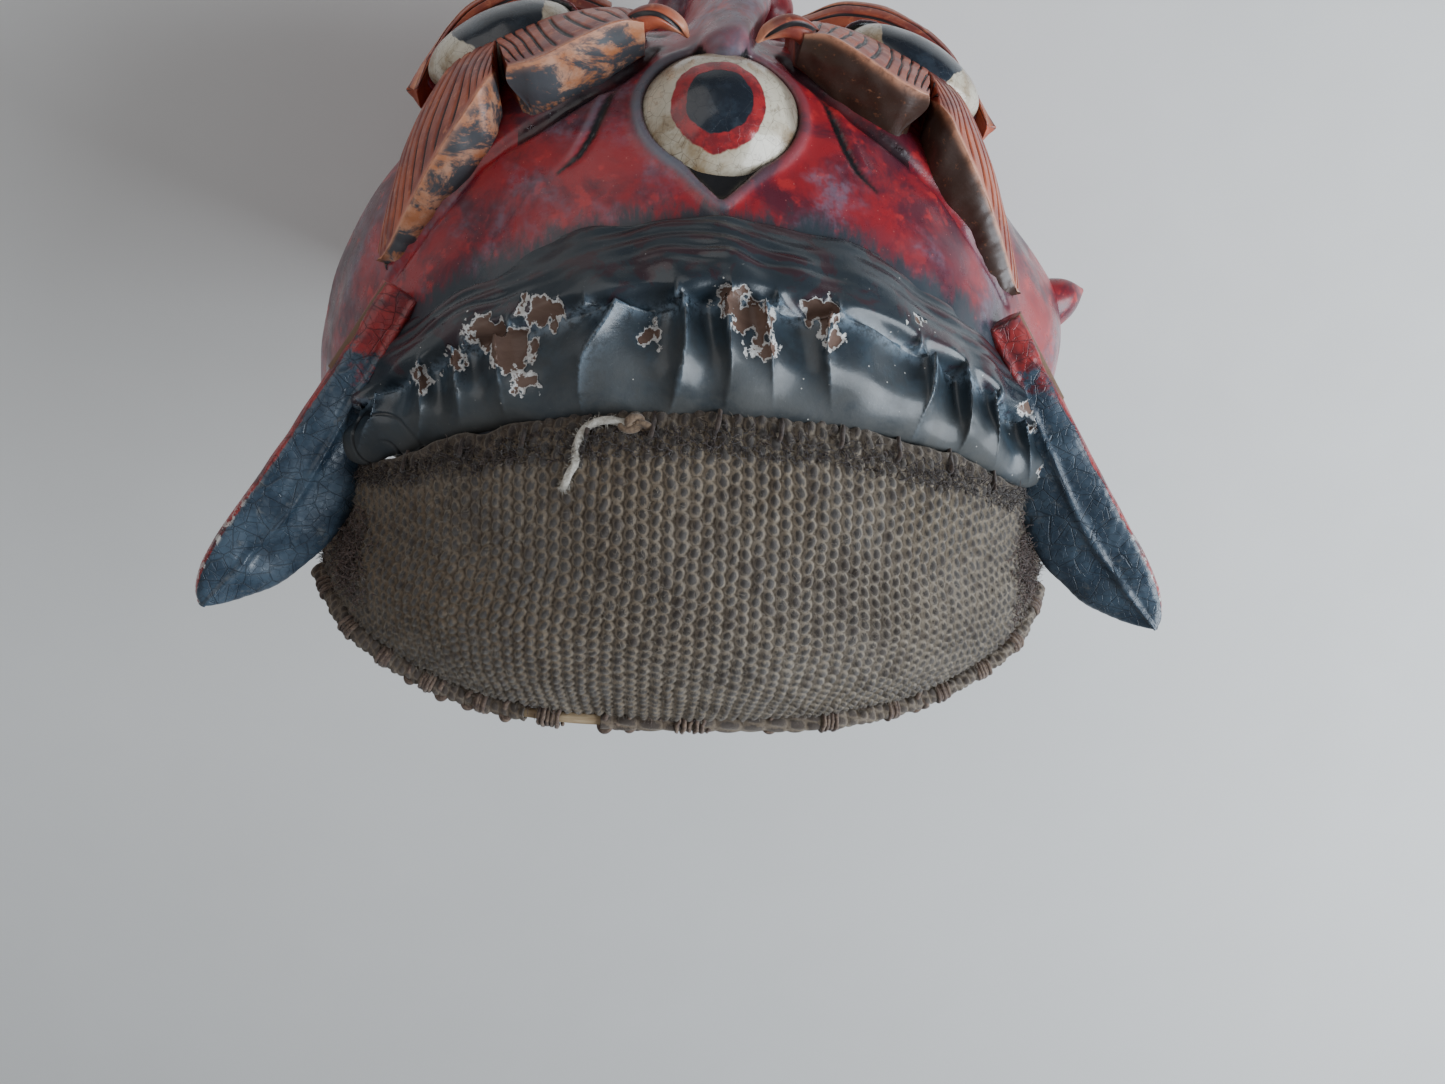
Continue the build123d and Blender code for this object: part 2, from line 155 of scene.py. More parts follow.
# ------------------------------------------------------------------ distances to simple forms
def tube_distance(x, y, z, points, radii):
    """Distance to a tube through points, whose radius changes from point to point."""
    nearest = None
    for (a, radius_a), (b, radius_b) in zip(zip(points, radii), zip(points[1:], radii[1:])):
        run = [float(q - p) for p, q in zip(a, b)]
        length = sum(r * r for r in run) + 1e-9
        t = np.clip(((x - a[0]) * run[0] + (y - a[1]) * run[1] + (z - a[2]) * run[2]) / length, 0, 1)
        gap = np.sqrt((x - a[0] - t * run[0]) ** 2 + (y - a[1] - t * run[1]) ** 2
                      + (z - a[2] - t * run[2]) ** 2) - (radius_a + t * (radius_b - radius_a))
        nearest = gap if nearest is None else np.minimum(nearest, gap)
    return nearest


def ball_distance(x, y, z, centre, radii):
    """Distance to an egg with those three half axes, near enough for carving."""
    shares = [(place - middle) / radius for place, middle, radius in zip((x, y, z), centre, radii)]
    near = np.sqrt(sum(share * share for share in shares))
    slope = np.sqrt(sum((share / radius) ** 2 for share, radius in zip(shares, radii))) + 1e-6
    return near * (near - 1) / slope


def head_distance(x, y, z, inset=0.0):
    """Distance to the bare carved head, or to a smaller head inside it."""
    half_width = profile(FACE_STATIONS, 1, z) - inset
    depth = BACK - profile(FACE_STATIONS, 2, z) - inset
    u, v = x / half_width, (BACK - y) / depth
    return (u * u + v * v - 1) / (2 * np.sqrt((u / half_width) ** 2 + (v / depth) ** 2) + 1e-6)


def on_head(x, z, proud=0.0):
    """The point of the bare head's front at a sideways place and a height."""
    half_width, front = profile(FACE_STATIONS, 1, z), profile(FACE_STATIONS, 2, z)
    return (x, BACK - (BACK - front) * math.sqrt(1 - (x / half_width) ** 2) - proud, z)


def head_top(x, y):
    """Height of the bare head's surface above a place seen from over the crown."""
    heights = np.linspace(200, 300, 401)
    outside = head_distance(np.float64(x), np.float64(y), heights) > 0
    return float(heights[np.argmax(outside)]) if outside.any() else 300.0


# ------------------------------------------------------------------ carving in a block of voxels
class Carving:
    """A block of distances, carved place by place, that becomes a mesh."""

    def __init__(self, low, high, step, start):
        self.step = step
        self.axes = [np.arange(a, b + step, step, dtype=np.float32) for a, b in zip(low, high)]
        x, y, z = np.meshgrid(*self.axes, indexing="ij", sparse=True)
        self.value = (start(x, y, z) + np.zeros([len(axis) for axis in self.axes])).astype(np.float32)

    def change(self, shape, low, high, combine):
        """Combines a shape with the part of the block between two corners."""
        cuts = [slice(*(max(int((end - axis[0]) / self.step) + more, 0) for end, more in ((a, 0), (b, 2))))
                for axis, a, b in zip(self.axes, low, high)]
        x, y, z = np.meshgrid(*[axis[cut] for axis, cut in zip(self.axes, cuts)], indexing="ij", sparse=True)
        if min(len(x), y.shape[1], z.shape[2]):
            here = self.value[tuple(cuts)]
            self.value[tuple(cuts)] = combine(here, shape(x, y, z).astype(np.float32))

    def tube(self, points, radii, reach, cut=False):
        margin = max(radii) + 2 * reach + 2
        low, high = np.min(points, axis=0) - margin, np.max(points, axis=0) + margin
        self.change(lambda x, y, z: tube_distance(x, y, z, points, radii), low, high, joiner(cut, reach))

    def ball(self, centre, radii, reach):
        low, high = np.array(centre) - radii - 2 * reach - 2, np.array(centre) + radii + 2 * reach + 2
        self.change(lambda x, y, z: ball_distance(x, y, z, centre, radii), low, high, joiner(False, reach))

    def mesh(self, rounds, mirrored=False):
        """The carved form. A mirrored block starts on the mirror plane, X = 0."""
        value, axes = self.value, list(self.axes)
        if mirrored:
            value = np.concatenate([value[:0:-1], value])
            axes[0] = np.concatenate([-axes[0][:0:-1], axes[0]])
        points, faces = surface_net(value, axes)
        return relax(points, faces, rounds), faces


def joiner(cut, reach):
    if cut:
        return lambda old, new: soft_max(old, -new, reach)
    return lambda old, new: soft_min(old, new, reach)


def surface_net(value, axes):
    """The zero level of a block of distances, as points and four-sided faces."""
    solid = value < 0
    corners = [(i, j, k) for i in (0, 1) for j in (0, 1) for k in (0, 1)]
    size = [n - 1 for n in value.shape]
    count = np.zeros(size, np.int8)
    for i, j, k in corners:
        count += solid[i:i + size[0], j:j + size[1], k:k + size[2]]
    cells = np.argwhere((count > 0) & (count < 8))
    number = np.full(size, -1, np.int64)
    number[tuple(cells.T)] = np.arange(len(cells))
    held = {c: value[tuple((cells + c).T)] for c in corners}
    total, hits = np.zeros((len(cells), 3)), np.zeros(len(cells))
    for a in corners:
        for axis in range(3):
            if a[axis]:
                continue
            b = tuple(v + (n == axis) for n, v in enumerate(a))
            crossed = (held[a] < 0) != (held[b] < 0)
            t = np.where(crossed, held[a] / np.where(crossed, held[a] - held[b], 1), 0)
            spot = np.array(a, float) + np.zeros((len(cells), 3))
            spot[:, axis] += t
            total += spot * crossed[:, None]
            hits += crossed
    points = cells + total / hits[:, None]
    points = np.stack([np.interp(points[:, n], np.arange(len(axes[n])), axes[n]) for n in range(3)], axis=1)
    step, faces = np.eye(3, dtype=int), []
    for axis in range(3):
        first, second = [n for n in range(3) if n != axis]
        edges = np.argwhere(solid != np.roll(solid, -1, axis))
        edges = edges[((edges >= 1 - step[axis]) & (edges < size)).all(axis=1)]
        quad = np.stack([number[tuple((edges - shift).T)] for shift in
                         (step[first] + step[second], step[second], 0 * step[0], step[first])], axis=1)
        outward = solid[tuple(edges.T)] == (axis != 1)
        faces.append(np.where(outward[:, None], quad, quad[:, ::-1]))
    faces = np.concatenate(faces)
    return points, faces[(faces >= 0).all(axis=1)]


def relax(points, faces, rounds):
    """Evens out the small steps that voxels leave, halfway to each point's neighbours in each round."""
    for _ in range(rounds):
        total, hits = np.zeros_like(points), np.zeros(len(points))
        for a, b in ((0, 1), (1, 2), (2, 3), (3, 0)):
            for start, end in ((a, b), (b, a)):
                for n in range(3):
                    total[:, n] += np.bincount(faces[:, start], points[faces[:, end], n], len(points))
                hits += np.bincount(faces[:, start], minlength=len(points))
        points = points + 0.5 * (total / hits[:, None] - points)
    return points


# ------------------------------------------------------------------ meshes
def make_mesh(name, points, faces, paint, slot, traits=(), replaces=()):
    """A mesh object in metres that rides on the mask, with one number per point for each trait."""
    data = bpy.data.meshes.new(name)
    data.vertices.add(len(points))
    data.vertices.foreach_set("co", (np.asarray(points) * MM).astype(np.float32).ravel())
    data.loops.add(faces.size)
    data.loops.foreach_set("vertex_index", faces.ravel().astype(np.int32))
    data.polygons.add(len(faces))
    data.polygons.foreach_set("loop_start", np.arange(0, faces.size, faces.shape[1], dtype=np.int32))
    data.polygons.foreach_set("use_smooth", np.full(len(faces), True))
    data.update(calc_edges=True)
    data.validate()
    for trait, values in dict(traits).items():
        layer = data.attributes.new(trait, "FLOAT", "POINT")
        layer.data.foreach_set("value", np.asarray(values, np.float32).ravel())
    data.materials.append(paint)
    piece = bpy.data.objects.new(name, data)
    bpy.context.scene.collection.objects.link(piece)
    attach(piece, ROOT)
    if replaces:
        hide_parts(*replaces)
    return piece


def skin(rings):
    """Points and faces of rings that each close on themselves."""
    rows, columns = rings.shape[:2]
    index = np.arange(rows * columns).reshape(rows, columns)
    index = np.concatenate([index, index[:, :1]], axis=1)
    corners = index[:-1, :-1], index[:-1, 1:], index[1:, 1:], index[1:, :-1]
    return rings.reshape(-1, 3), np.stack(corners, axis=-1).reshape(-1, 4)


def close_ends(rings, shrink=(0.7, 0.4, 0.15, 0.02), bulge=0.0):
    """Rings with four extra, smaller ones at both ends, so that the loft closes."""
    ends = []
    for ring, inner in ((rings[0], rings[1]), (rings[-1], rings[-2])):
        middle = ring.mean(axis=0)
        out = middle - inner.mean(axis=0)
        out = out / (np.linalg.norm(out) + 1e-9)
        ends.append([middle + (ring - middle) * s + out * bulge * math.sqrt(1 - s * s) for s in shrink])
    return np.concatenate([np.array(ends[0][::-1]), rings, np.array(ends[1])])


def spread_ends(values):
    """Numbers for rings that close_ends added, copied from the ring beside them."""
    return np.concatenate([np.repeat(values[:1], 4, axis=0), values, np.repeat(values[-1:], 4, axis=0)])


def turned(points, faces):
    """Faces turned so that the closed mesh's normals point outwards."""
    a, b, c, d = (points[faces[:, n]] for n in range(4))
    volume = (np.cross(b - a, c - a) * a).sum() + (np.cross(c - a, d - a) * a).sum()
    return faces if volume > 0 else faces[:, ::-1]


def closed_mesh(name, rings, paint, slot, traits=(), replaces=(), **ends):
    """A mesh of rings with closed ends. Each trait has a number for every point of the rings."""
    points, faces = skin(close_ends(rings, **ends))
    traits = {trait: spread_ends(values) for trait, values in dict(traits).items()}
    return make_mesh(name, points, turned(points, faces), paint, slot, traits, replaces)


def merge(meshes):
    """Several meshes' points and faces as one."""
    points, faces, start = [], [], 0
    for some_points, some_faces in meshes:
        points.append(some_points)
        faces.append(some_faces + start)
        start += len(some_points)
    return np.concatenate(points), np.concatenate(faces)


def rings_about(path, size, angle, side, up):
    """Rings about a path, with their own size at every point."""
    return path[:, None] + size[..., None] * (np.cos(angle)[..., None] * side[:, None]
                                              + np.sin(angle)[..., None] * up[:, None])


def tube_rings(points, radii, around, count, squash):
    """Rings of a tube through points, with a radius at each."""
    path = through(points, count)
    radius = through([[r] for r in radii], count)
    side = unit(np.cross(unit(np.gradient(path, axis=0)), (0.13, 0.21, 0.97)))
    up = np.cross(side, unit(np.gradient(path, axis=0)))
    return rings_about(path, radius + np.zeros(around), full_turn(around)[None], side, squash * up)


# ------------------------------------------------------------------ carved places on the face
EYE_AXIS = unit(EYE_NORMAL)
EYE_ACROSS = unit(np.cross((0, 0, 1), EYE_AXIS))
EYE_UP = np.cross(EYE_AXIS, EYE_ACROSS)
THIRD_AXIS = np.array([0, -math.cos(math.radians(THIRD_EYE_TILT)), math.sin(math.radians(THIRD_EYE_TILT))])
THIRD_UP = np.array([0, THIRD_AXIS[2], -THIRD_AXIS[1]])         # towards the crown
THIRD_CENTRE = np.array(on_head(0.0, THIRD_EYE_Z)) - 3.2 * THIRD_UP

CREASE = [(x, y, head_top(x, y)) for x, y in
          ((31, -98), (39, -89.5), (42.5, -82), (46, -74), (50.5, -67), (58, -60.5))]
BROW_FOOT = [(x, y, head_top(x, y)) for x, y in
             ((24, -104), (30, -99), (44, -90), (58, -81), (75, -70), (88, -60), (99, -47), (111, -32),
              (121, -17))]
FOLD = [on_head(x, z, 1.0) for x, z in ((31, 156), (45, 140), (60, 122), (69, 100), (66, 76))]
SIDE_FOLD = [on_head(x, z) for x, z in ((22, 212), (34, 190), (42, 168))]
UPPER_LIP = [on_head(x, z, 1.0) for x, z in ((0, 113), (18, 110), (38, 106), (55, 97), (60, 82))]
LOWER_LIP = [on_head(x, z, 1.0) for x, z in ((0, 49), (22, 50), (42, 54), (56, 64), (60, 80))]
NOSTRIL, NOSTRIL_RADII = ((13, -131, 131), (12, -128, 141)), (6.0, 4.0)
TEMPLE_NUB = ((-158, -7, 176), (-169, -11, 173), (-178, -14, 169))
HEAD_STEP, HEAD_QUICK_STEP, TOOTH_STEP = 1.3, 1.7, 0.9


def third_eye_places(x, y, z):
    """Distance from the third eye's axis, less that of its pointed lid, and height off the head."""
    along = (y - THIRD_CENTRE[1]) * THIRD_UP[1] + (z - THIRD_CENTRE[2]) * THIRD_UP[2]
    turn = np.abs(np.arctan2(x, along))
    lid = 30.6 - 2.6 * np.cos(turn) ** 2 + 11.5 * np.clip(1 - turn / 0.62, 0, 1) ** 1.6
    return np.sqrt(x**2 + along**2) - lid, head_distance(x, y, z)


def lid_ridge(x, y, z):
    beyond, height = third_eye_places(x, y, z)
    return np.sqrt(beyond**2 + (height - 0.6) ** 2) - 2.5


def lid_gap(x, y, z):
    beyond, height = third_eye_places(x, y, z)
    return np.maximum(beyond + 2.6, np.abs(height) - 3.2)


def eye_places(x, y, z):
    """Sideways, upward and outward places in a side eye's own frame."""
    d = [x - EYE_CENTRE[0], y - EYE_CENTRE[1], z - EYE_CENTRE[2]]
    return [sum(d[n] * axis[n] for n in range(3)) for axis in (EYE_ACROSS, EYE_UP, EYE_AXIS)]


def lower_lid(x, y, z):
    """Distance to the carved lower lid, a thick skin over the eyeball."""
    across, up, out = eye_places(x, y, z)
    skin_over_ball = ball_distance(across, up, out, (0, 0, 0), [half + 3.4 for half in EYE_HALVES])
    return soft_max(skin_over_ball, up + 15.0 - 0.013 * across**2, 2.0)


def mouth_hole(x, y, z):
    low_curve, high_curve = MOUTH_LOW + 0.004 * x**2, MOUTH_HIGH - 0.003 * x**2
    middle, half = (low_curve + high_curve) / 2, (high_curve - low_curve) / 2
    edge = ((x / (MOUTH_HALF_WIDTH + 2)) ** 4 + (np.abs(z - middle) / half) ** 3) ** 0.29 - 1
    return np.maximum(edge * 18, y + 40)


def carve_features(carving):
    """The brow's bridge, nose, cheeks, chin, lids, lips, folds and creases of the left half."""
    carving.tube([(0, -101, 248), (0, -105, 238), (0, -112, 212), (0, -124, 172)], (5, 10, 13, 17), 7)
    carving.ball((0, -127, 153), (20, 21, 19), 6)
    carving.ball((19, -118, 145), (12, 17, 13), 5)
    carving.ball((70, -90, 138), (32, 22, 24), 14)
    carving.tube([(45, -104, 170), (66, -106, 162), (92, -98, 166)], (7, 8, 6), 8)
    carving.ball((0, -80, 27), (30, 18, 20), 10)
    carving.tube(FOLD, (5, 6, 7, 6, 5), 7)
    carving.change(lower_lid, (36, -140, 136), (132, -60, 236), joiner(False, 5))
    carving.tube(SIDE_FOLD, (1.5, 3.2, 2.0), 3, cut=True)
    carving.tube(NOSTRIL, NOSTRIL_RADII, 3, cut=True)
    carving.tube(UPPER_LIP, (7, 7, 7, 6, 5), 4)
    carving.tube(LOWER_LIP, (6.5, 6.5, 6.5, 6, 5), 4)
    carving.tube([on_head(0, 117, 6), on_head(0, 130, 5)], (2.4, 3.4), 4, cut=True)
    carving.tube([on_head(x, z, 1) for x, z in ((0, 39), (26, 41), (48, 48))], (3, 3, 2), 4, cut=True)
    carving.tube(CREASE, (0.4, 1.1, 1.3, 1.3, 1.1, 0.3), 0.8, cut=True)
    carving.tube([(x + 3.2, y - 0.9, z - 2.0) for x, y, z in CREASE[1:-1]], (0.5, 0.9, 0.9, 0.5), 3.6)
    carving.tube(BROW_FOOT, (1.5, 2.2) + (2.8,) * 6 + (1.5,), 2.5, cut=True)
    for shape, cut, reach in ((lid_ridge, False, 2.2), (lid_gap, True, 0.8)):
        carving.change(shape, (0, -125, 222), (44, -44, 296), joiner(cut, reach))
    carving.change(mouth_hole, (0, -150, 50), (60, -40, 110), joiner(True, 4.0))


def hollow_out(carving):
    """Cuts the gouged hollow, the flat back and the open crown."""
    x, y, z = np.meshgrid(*carving.axes, indexing="ij", sparse=True)
    cavity = soft_max(head_distance(x, y, z, WALL), z - CAVITY_TOP, 6.0)
    gouges = 0.7 * wobble(x, y, z, 9.0, 3)
    shell = soft_max(carving.value, -(cavity + gouges), 2.0)
    for edge in (-z, y - BACK, z - 299.0):
        shell = soft_max(shell, edge, 2.4)
    carving.value = shell.astype(np.float32)


def uneven_head(points):
    """The head's points with the nose a little aside, a fuller right temple and a hand-cut surface."""
    x, y, z = np.abs(points[:, 0]), points[:, 1], points[:, 2]
    points[:, 0] -= 8.0 * ease(-104, -126, y) * ease(48, 30, x) * ease(126, 150, z)
    temple = np.exp(-((y + 8) / 40) ** 2 - ((z - 185) / 60) ** 2)
    points[:, 0] -= 11.0 * temple * ease(-118, -152, points[:, 0])
    return points + unit(points - (0, 30, 150)) * (0.45 * uneven(points, 16.0, 5))[:, None]


def head_traits(x, y, z, right):
    """Where the head holds painted shade or a blue-grey rim of painted highlight and shade, is bare wood,
    lies under the hairline or is on the lips.
    """
    beyond, height = third_eye_places(x, y, z)
    bare = ease(2.5, -1.0, np.maximum(head_distance(x, y, z, WALL) - 1.5, z - CAVITY_TOP - 2))
    across, up, out = eye_places(x, y, z)
    near_ball = ball_distance(across, up, out, (0, 0, 0), EYE_HALVES)
    # dark: painted shade in the creases, the brow's foot, the gap round each eyeball, the third eye's lid
    # gap, the folds, nostrils and mouth.
    dark = np.maximum.reduce([
        ease(0.5, -0.4, tube_distance(x, y, z, CREASE, (0.6, 1.1, 1.4, 1.4, 1.2, 0.5))),
        ease(3.4, 0.4, tube_distance(x, y, z, BROW_FOOT, (2.0,) * 9)) * 0.85,
        ease(2.6, 1.2, np.abs(near_ball - 0.6)) * (out > -4),
        ease(-0.8, -2.8, beyond) * (beyond > -16) * (np.abs(height) < 8),
        ease(1.6, 0.0, tube_distance(x, y, z, SIDE_FOLD, (1.2, 2.6, 1.6))),
        ease(2.0, -1.0, tube_distance(x, y, z, NOSTRIL, NOSTRIL_RADII)),
        ease(5.0, -2.0, mouth_hole(x, y, z)) * (y < -60),
    ])
    # rim: blue-grey painted highlight on the third eye's lid ridge and on the crease's lip, stronger on the
    # lit side, and a blue painted shade at the nose's root below the third eye.
    crease_lip = tube_distance(x, y, z, [(a + 2.8, b - 1.0, c + 0.2) for a, b, c in CREASE], (0.7,) * 6)
    lit = ease(-24, 20, right)
    rim = np.maximum.reduce([
        ease(3.4, 1.2, np.abs(beyond)) * (np.abs(height - 1) < 5) * (y > -112) * (0.25 + 0.6 * lit),
        ease(1.6, -0.6, crease_lip) * 0.45 * lit,
        0.5 * ease(34, 14, x) * ease(-97, -103, y) * ease(224, 240, z),
    ])
    hairline = y - np.interp(x, [s[0] for s in CREST_STATIONS], [s[1][0] for s in CREST_STATIONS])
    lips = np.minimum(*(tube_distance(x, y, z, lip, (6,) * 5) for lip in (UPPER_LIP, LOWER_LIP)))
    return {"dark": dark, "rim": rim, "inside": np.maximum(bare, ease(BACK - 2.0, BACK - 0.5, y)),
            "hairline": np.where(z > 225, hairline, -60), "lips": ease(3.0, 0.0, lips)}


def carve_head():
    """The red wooden face with its nose, hollow behind, and the small nub on its right temple."""
    step = HEAD_STEP
    carving = Carving((0, -156, -4), (173, 54, 306), step, head_distance)
    carve_features(carving)
    hollow_out(carving)
    points, faces = carving.mesh(2, mirrored=True)
    x = np.abs(points[:, 0])
    points = uneven_head(points)
    traits = head_traits(x, points[:, 1], points[:, 2], points[:, 0])
    nub = skin(close_ends(tube_rings(TEMPLE_NUB, (13.0, 9.0, 1.2), 48, 40, 0.8)))
    points, faces = merge([(points, faces), nub])
    traits = {name: np.concatenate([value, np.full(len(nub[0]), -60.0 if name == "hairline" else 0.0)])
              for name, value in traits.items()}
    make_mesh("carved_face", points, faces, red_lacquer(), "red_lacquer", traits, ("face_shell", "nose"))


# ------------------------------------------------------------------ flame brows, cheek flames, curls
def loft(edges, counts):
    """Rings through four edges of a form, and each step's place along them, face and share of it."""
    lines = [through(edge, 220) for edge in edges]
    rings, number, share = [], [], []
    for face, (start, end, count) in enumerate(zip(lines, lines[1:] + lines[:1], counts)):
        for step in range(count):
            rings.append(start + (end - start) * (step / count))
            number.append(face)
            share.append(step / count)
    s = np.linspace(0, 1, 220)[:, None] + np.zeros(len(share))
    return np.stack(rings, axis=1), s, np.array(number) + 0 * s, np.array(share) + 0 * s


def outward_of(rings):
    """The direction away from a lofted form at each of its points."""
    along, around = np.gradient(rings, axis=0), np.roll(rings, -1, axis=1) - np.roll(rings, 1, axis=1)
    normal = unit(np.cross(along, around) + 1e-9)
    away = rings - rings.mean(axis=1, keepdims=True)
    return normal * np.sign((normal * away).sum(axis=-1, keepdims=True).mean())


def strokes(phase, width=0.20):
    """Narrow combed grooves, one for each whole step of phase: 1 at a groove's bottom."""
    return ease(width, 0.04, np.abs(phase - np.round(phase)))


def make_pair(stem, rings, paint, slot, traits, lean=0.0):
    """A lofted left-hand piece and its mirrored twin, each with its own unevenness."""
    points, faces = skin(close_ends(rings, bulge=lean))
    traits = {name: spread_ends(values) for name, values in traits.items()}
    for side, sign, seed in (("left", 1, 8), ("right", -1, 9)):
        twin = points * (sign, 1, 1)
        twin = twin + unit(twin - twin.mean(axis=0)) * 0.35 * uneven(twin, 11.0, seed)[:, None]
        traits["side"] = np.full(len(twin), float(side == "left"))
        make_mesh(f"{stem}_{side}_carved", twin, turned(twin, faces), paint, slot, traits, [f"{stem}_{side}"])


BROW_INNER = (                  # foot, edge, low and core lines of the inner lock
    ((28, -102, 238), (36, -96.5, 239), (46, -89, 240), (58, -81, 240), (65, -77, 240), (70, -74, 240)),
    ((29, -112.5, 248), (38, -112.5, 251), (50, -107, 253), (62, -100.5, 253), (70, -97, 252),
     (76.5, -95, 249)),
    ((27, -115.5, 212), (38, -118, 207), (50, -117, 204), (62, -114, 202), (74, -109.5, 202),
     (85, -104.5, 203)),
    ((27, -100, 208), (37, -96, 206), (48, -90, 205), (58, -85, 204), (68, -80, 204), (78, -76, 205)),
)
BROW_OUTER = (                  # the same lines of the outer lock
    ((79.5, -72, 228), (82, -65, 239), (87, -59, 241), (98, -47, 241), (109, -33, 240), (118, -21, 237),
     (124, -18, 234)),
    ((83, -91.5, 243), (86.5, -87, 249), (91, -80, 249), (102, -64, 247), (112, -47, 243), (121, -30, 238),
     (125.5, -22.5, 235)),
    ((84, -105, 204), (94, -100, 203), (103, -92.5, 203), (115, -74, 203), (123, -55, 204), (127, -38, 210),
     (127, -25, 222)),
    ((82, -80, 205), (88, -76, 205), (95, -70, 205), (104, -55, 206), (112, -40, 211), (118, -28, 217),
     (123, -21, 227)),
)
CHEEK_FLAME = (                 # upper, ridge, lower and core lines
    ((42, -108, 162), (60, -114, 158), (80, -114, 160), (98, -106, 168), (110, -93, 180), (117, -82, 191)),
    ((41, -122, 150), (60, -129, 146), (82, -127, 148), (101, -116, 158), (112, -100, 174), (118, -84, 190)),
    ((42, -112, 138), (60, -115, 132), (82, -110, 134), (101, -98, 146), (113, -87, 166), (119, -80, 188)),
    ((42, -98, 150), (60, -98, 146), (80, -95, 148), (98, -86, 157), (108, -78, 172), (116, -76, 188)),
)
BROW_CURL = ((36, -103, 234), (33, -111, 240), (25, -115, 243), (17, -113, 242), (12.5, -109, 240))


def brow_lobe(stem, lines, phase, chipped, paint):
    """A wedge-shaped brow lock: a sloping upper wall, a sharp edge and a combed front."""
    rings, s, number, share = loft(lines, (44, 96, 6, 6))
    wall, front = number == 0, number == 1
    across = np.where(wall, 1 - share, share)
    swell = np.where(front, 2.0 * np.sin(math.pi * np.clip(across, 0, 1)), 0)
    swell += np.where(wall, 1.2 * np.sin(math.pi * across) * (1 - 2 * ease(0.75, 1, s)), 0)
    groove = strokes(phase(s, across)) * ease(0.02, 0.16, across) * ease(1.0, 0.86, across) * front
    rough = 0.4 * uneven(rings, 2.6, 21) * ease(0.35, 0.75, s) * chipped
    worn = np.where(wall, 0.30 * uneven(rings, 5.0, 22) + 0.8 * rough, 0)
    rings = rings + outward_of(rings) * (swell - 1.1 * groove + worn)[..., None]
    rings[..., 0] += 2.6 * np.sin(2 * math.pi * across) * ease(0.86, 1.0, s) * wall
    edge = bell(across * np.where(wall, 18.0, 42.0), 1.7) * (wall | front)
    make_pair(stem, rings, paint, "orange_lacquer", {"groove": groove, "wall": wall * 1.0, "edge": edge})


def brows(paint):
    brow_lobe("brow_inner", BROW_INNER,
              lambda s, t: 11.5 * s - 3.4 * t + 1.2 * t * t + 0.2 * np.sin(7 * s), 0.0, paint)
    brow_lobe("brow_outer", BROW_OUTER, lambda s, t: 4.4 * t + 11.5 * s + 0.25 * np.sin(9 * s), 1.0, paint)


def cheek_flames(paint):
    rings, s, number, share = loft(CHEEK_FLAME, (50, 50, 6, 6))
    shown = number < 2
    around = np.where(number == 0, share, 1 + share) / 2
    groove = strokes(6.0 * around + 2.2 * s) * shown * ease(0, 0.1, around) * ease(1, 0.9, around)
    swell = np.where(shown, 3.2 * np.abs(np.sin(2 * math.pi * around)), 0)
    rings = rings + outward_of(rings) * (swell - 1.3 * groove * ease(1.0, 0.9, s))[..., None]
    edge = np.exp(-((around - 0.5) * 14) ** 2) * shown
    make_pair("cheek_flame", rings, paint, "orange_lacquer", {"groove": groove, "wall": 0 * s, "edge": edge})


def brow_curls(paint):
    """A comma-shaped frown lock beside the nose, with a spiral cut."""
    rings = tube_rings(BROW_CURL, (3.6, 4.4, 4.2, 3.0, 0.7), 72, 120, 1.15)
    s = np.linspace(0, 1, len(rings))[:, None]
    turn = np.arange(72)[None] / 72
    groove = strokes(turn * 2 + 0.7 * s, 0.12) * ease(1.0, 0.75, s) * ease(0, 0.1, s)
    rings = rings - outward_of(rings) * (0.8 * groove)[..., None]
    make_pair("brow_curl", rings, paint, "orange_lacquer",
              {"groove": groove, "wall": 0 * groove, "edge": 0 * groove + ease(0.5, 0.9, s)})


# ------------------------------------------------------------------ eyes and teeth
def dome(name, centre, axis, halves, reach_degrees, paint, replaces, look):
    """Part of an egg with its pole on the eye's axis, and each point's way from where it looks, in mm."""
    side = unit(np.cross((0, 0, 1), axis))
    up = np.cross(axis, side)
    angle = np.radians(np.linspace(0.4, reach_degrees, 130))[:, None]
    turn = full_turn(200)[None]
    across, high = np.sin(angle) * np.cos(turn) * halves[0], np.sin(angle) * np.sin(turn) * halves[1]
    ball = np.cos(angle)[..., None] * halves[2] * axis + across[..., None] * side + high[..., None] * up
    away = np.where(np.cos(angle) > 0, np.hypot(across - look[0], high - look[1]), 99.0)
    rings = centre + ball
    rings = rings + unit(ball) * (0.25 * uneven(rings, 9.0, 31))[..., None]
    closed_mesh(name, rings, paint, "eye_paint", {"away": away}, [replaces], shrink=(0.6, 0.3, 0.1, 0.01))


def eyes():
    cap = (THIRD_EYE_RADIUS**2 + THIRD_EYE_BULGE**2) / (2 * THIRD_EYE_BULGE)
    middle = THIRD_CENTRE + THIRD_AXIS * (THIRD_EYE_BULGE + 0.5 - cap)
    reach = math.degrees(math.asin(THIRD_EYE_RADIUS / cap)) + 12
    dome("third_eye_ball", middle, THIRD_AXIS, (cap, 0.91 * cap, cap), reach,
         eye_paint("third_eye_paint", 11.8, 16.5), "third_eye", (2.2, 4.8))
    paint = eye_paint("side_eye_paint", 19.0, 18.2)
    for side, sign in (("left", 1), ("right", -1)):
        mirror = np.array((sign, 1, 1))
        dome(f"eye_{side}_ball", EYE_CENTRE * mirror, EYE_AXIS * mirror, EYE_HALVES, 150,
             paint, f"eye_{side}", (-4.0 * sign, 8.5))


